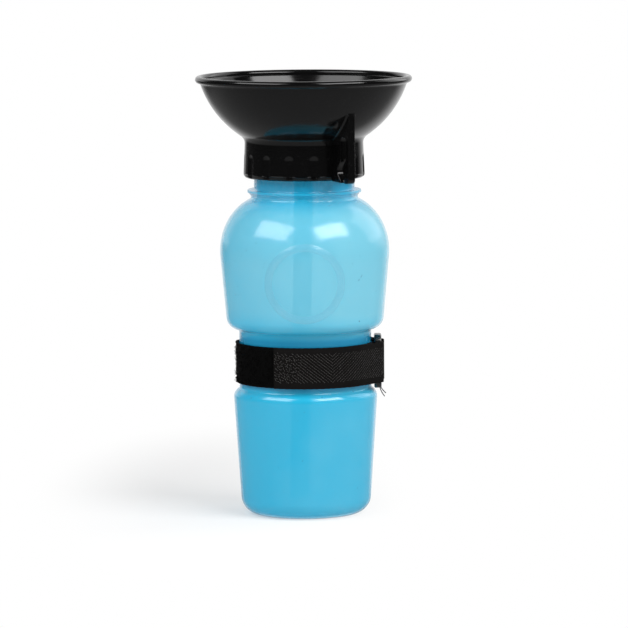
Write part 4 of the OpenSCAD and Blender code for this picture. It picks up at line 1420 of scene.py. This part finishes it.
# %% [markdown]
# ### Sewing
# The end of the loop tape is turned round the ring's rear bar and held by two rows of
# stitches. Each stitch is a short arch of twisted thread that dips into the tape at both ends.
# Two ends of the thread were left hanging at the tape's lower edge. They are so short and
# stiff that each is a tube along a few listed points.

# %% Stitches and thread ends
STITCHES = 6
STITCH_ANGLES = [5.0, 13.0]
STITCH_ROOT = 0.05
THREAD_R, PLY, TWIST, FRAYED = 0.24, 0.15, 0.9, 0.55
THREAD_ENDS = [
    [(37.6, -7.2, 66.6), (37.4, -7.8, 65.0), (37.9, -8.2, 63.4), (38.9, -8.3, 62.2), (40.1, -8.3, 61.0)],
    [(37.2, -7.0, 66.6), (37.0, -7.6, 64.8), (37.4, -8.0, 62.8), (38.3, -8.1, 61.0), (39.5, -8.1, 59.3)],
]


def build_stitches():
    """Arches along z on the tail's outer face, in one row for each of STITCH_ANGLES."""
    rows = math.radians(TAIL_TURN) * TAIL_R - np.radians(STITCH_ANGLES) * TAIL_R
    places = ((np.arange(STITCHES) + 0.5) / STITCHES - 0.5) * (TAPE_W - 2)
    s, z = grid_of(rows, places)
    return build_fibres("eye_stitches", LOOP_LINE, "strap", "sewing_thread", THREAD, ["strap_stitching"],
                        s, z, LOOP_HALF_T - STITCH_ROOT, -1.0, angle=math.pi / 2, half_length=1.1,
                        height=0.32, radius=THREAD_R, sides=8, steps=10)


def build_thread_end(name, places):
    """A two-ply thread: r = R (1 + ply cos(2 (angle - twist))) round a smooth line of points."""
    control = np.array(places, float)
    t = np.linspace(0, len(control) - 1, 30)
    path = np.column_stack([np.interp(t, np.arange(len(control)), c) for c in control.T])
    path[2:-2] = (path[:-4] + path[1:-3] + path[2:-2] + path[3:-1] + path[4:]) / 5
    ahead = np.gradient(path, axis=0)
    ahead /= np.linalg.norm(ahead, axis=1)[:, None]
    side = np.cross(ahead, [0, 1, 0])
    side /= np.linalg.norm(side, axis=1)[:, None]
    up = np.cross(side, ahead)
    step = np.arange(len(path))[:, None]
    a = np.linspace(0, 2 * math.pi, 10, endpoint=False)[None, :]
    r = THREAD_R * (1 + PLY * np.cos(2 * (a - TWIST * step)))
    r[-1] *= FRAYED
    out = np.cos(a)[:, :, None] * side[:, None] + np.sin(a)[:, :, None] * up[:, None]
    points = to_object(*np.moveaxis(path[:, None] + r[:, :, None] * out, -1, 0))
    uv = np.stack(np.broadcast_arrays(0.3 * step, THREAD_R * a), axis=-1) * UV_PER_MM
    faces = tube_faces(*r.shape, turned=True)
    return make_piece(name, points, faces, "strap", "sewing_thread", THREAD, uv=uv)


build_stitches()
for number, end_places in enumerate(THREAD_ENDS, 1):
    build_thread_end(f"thread_end_{number}", end_places)
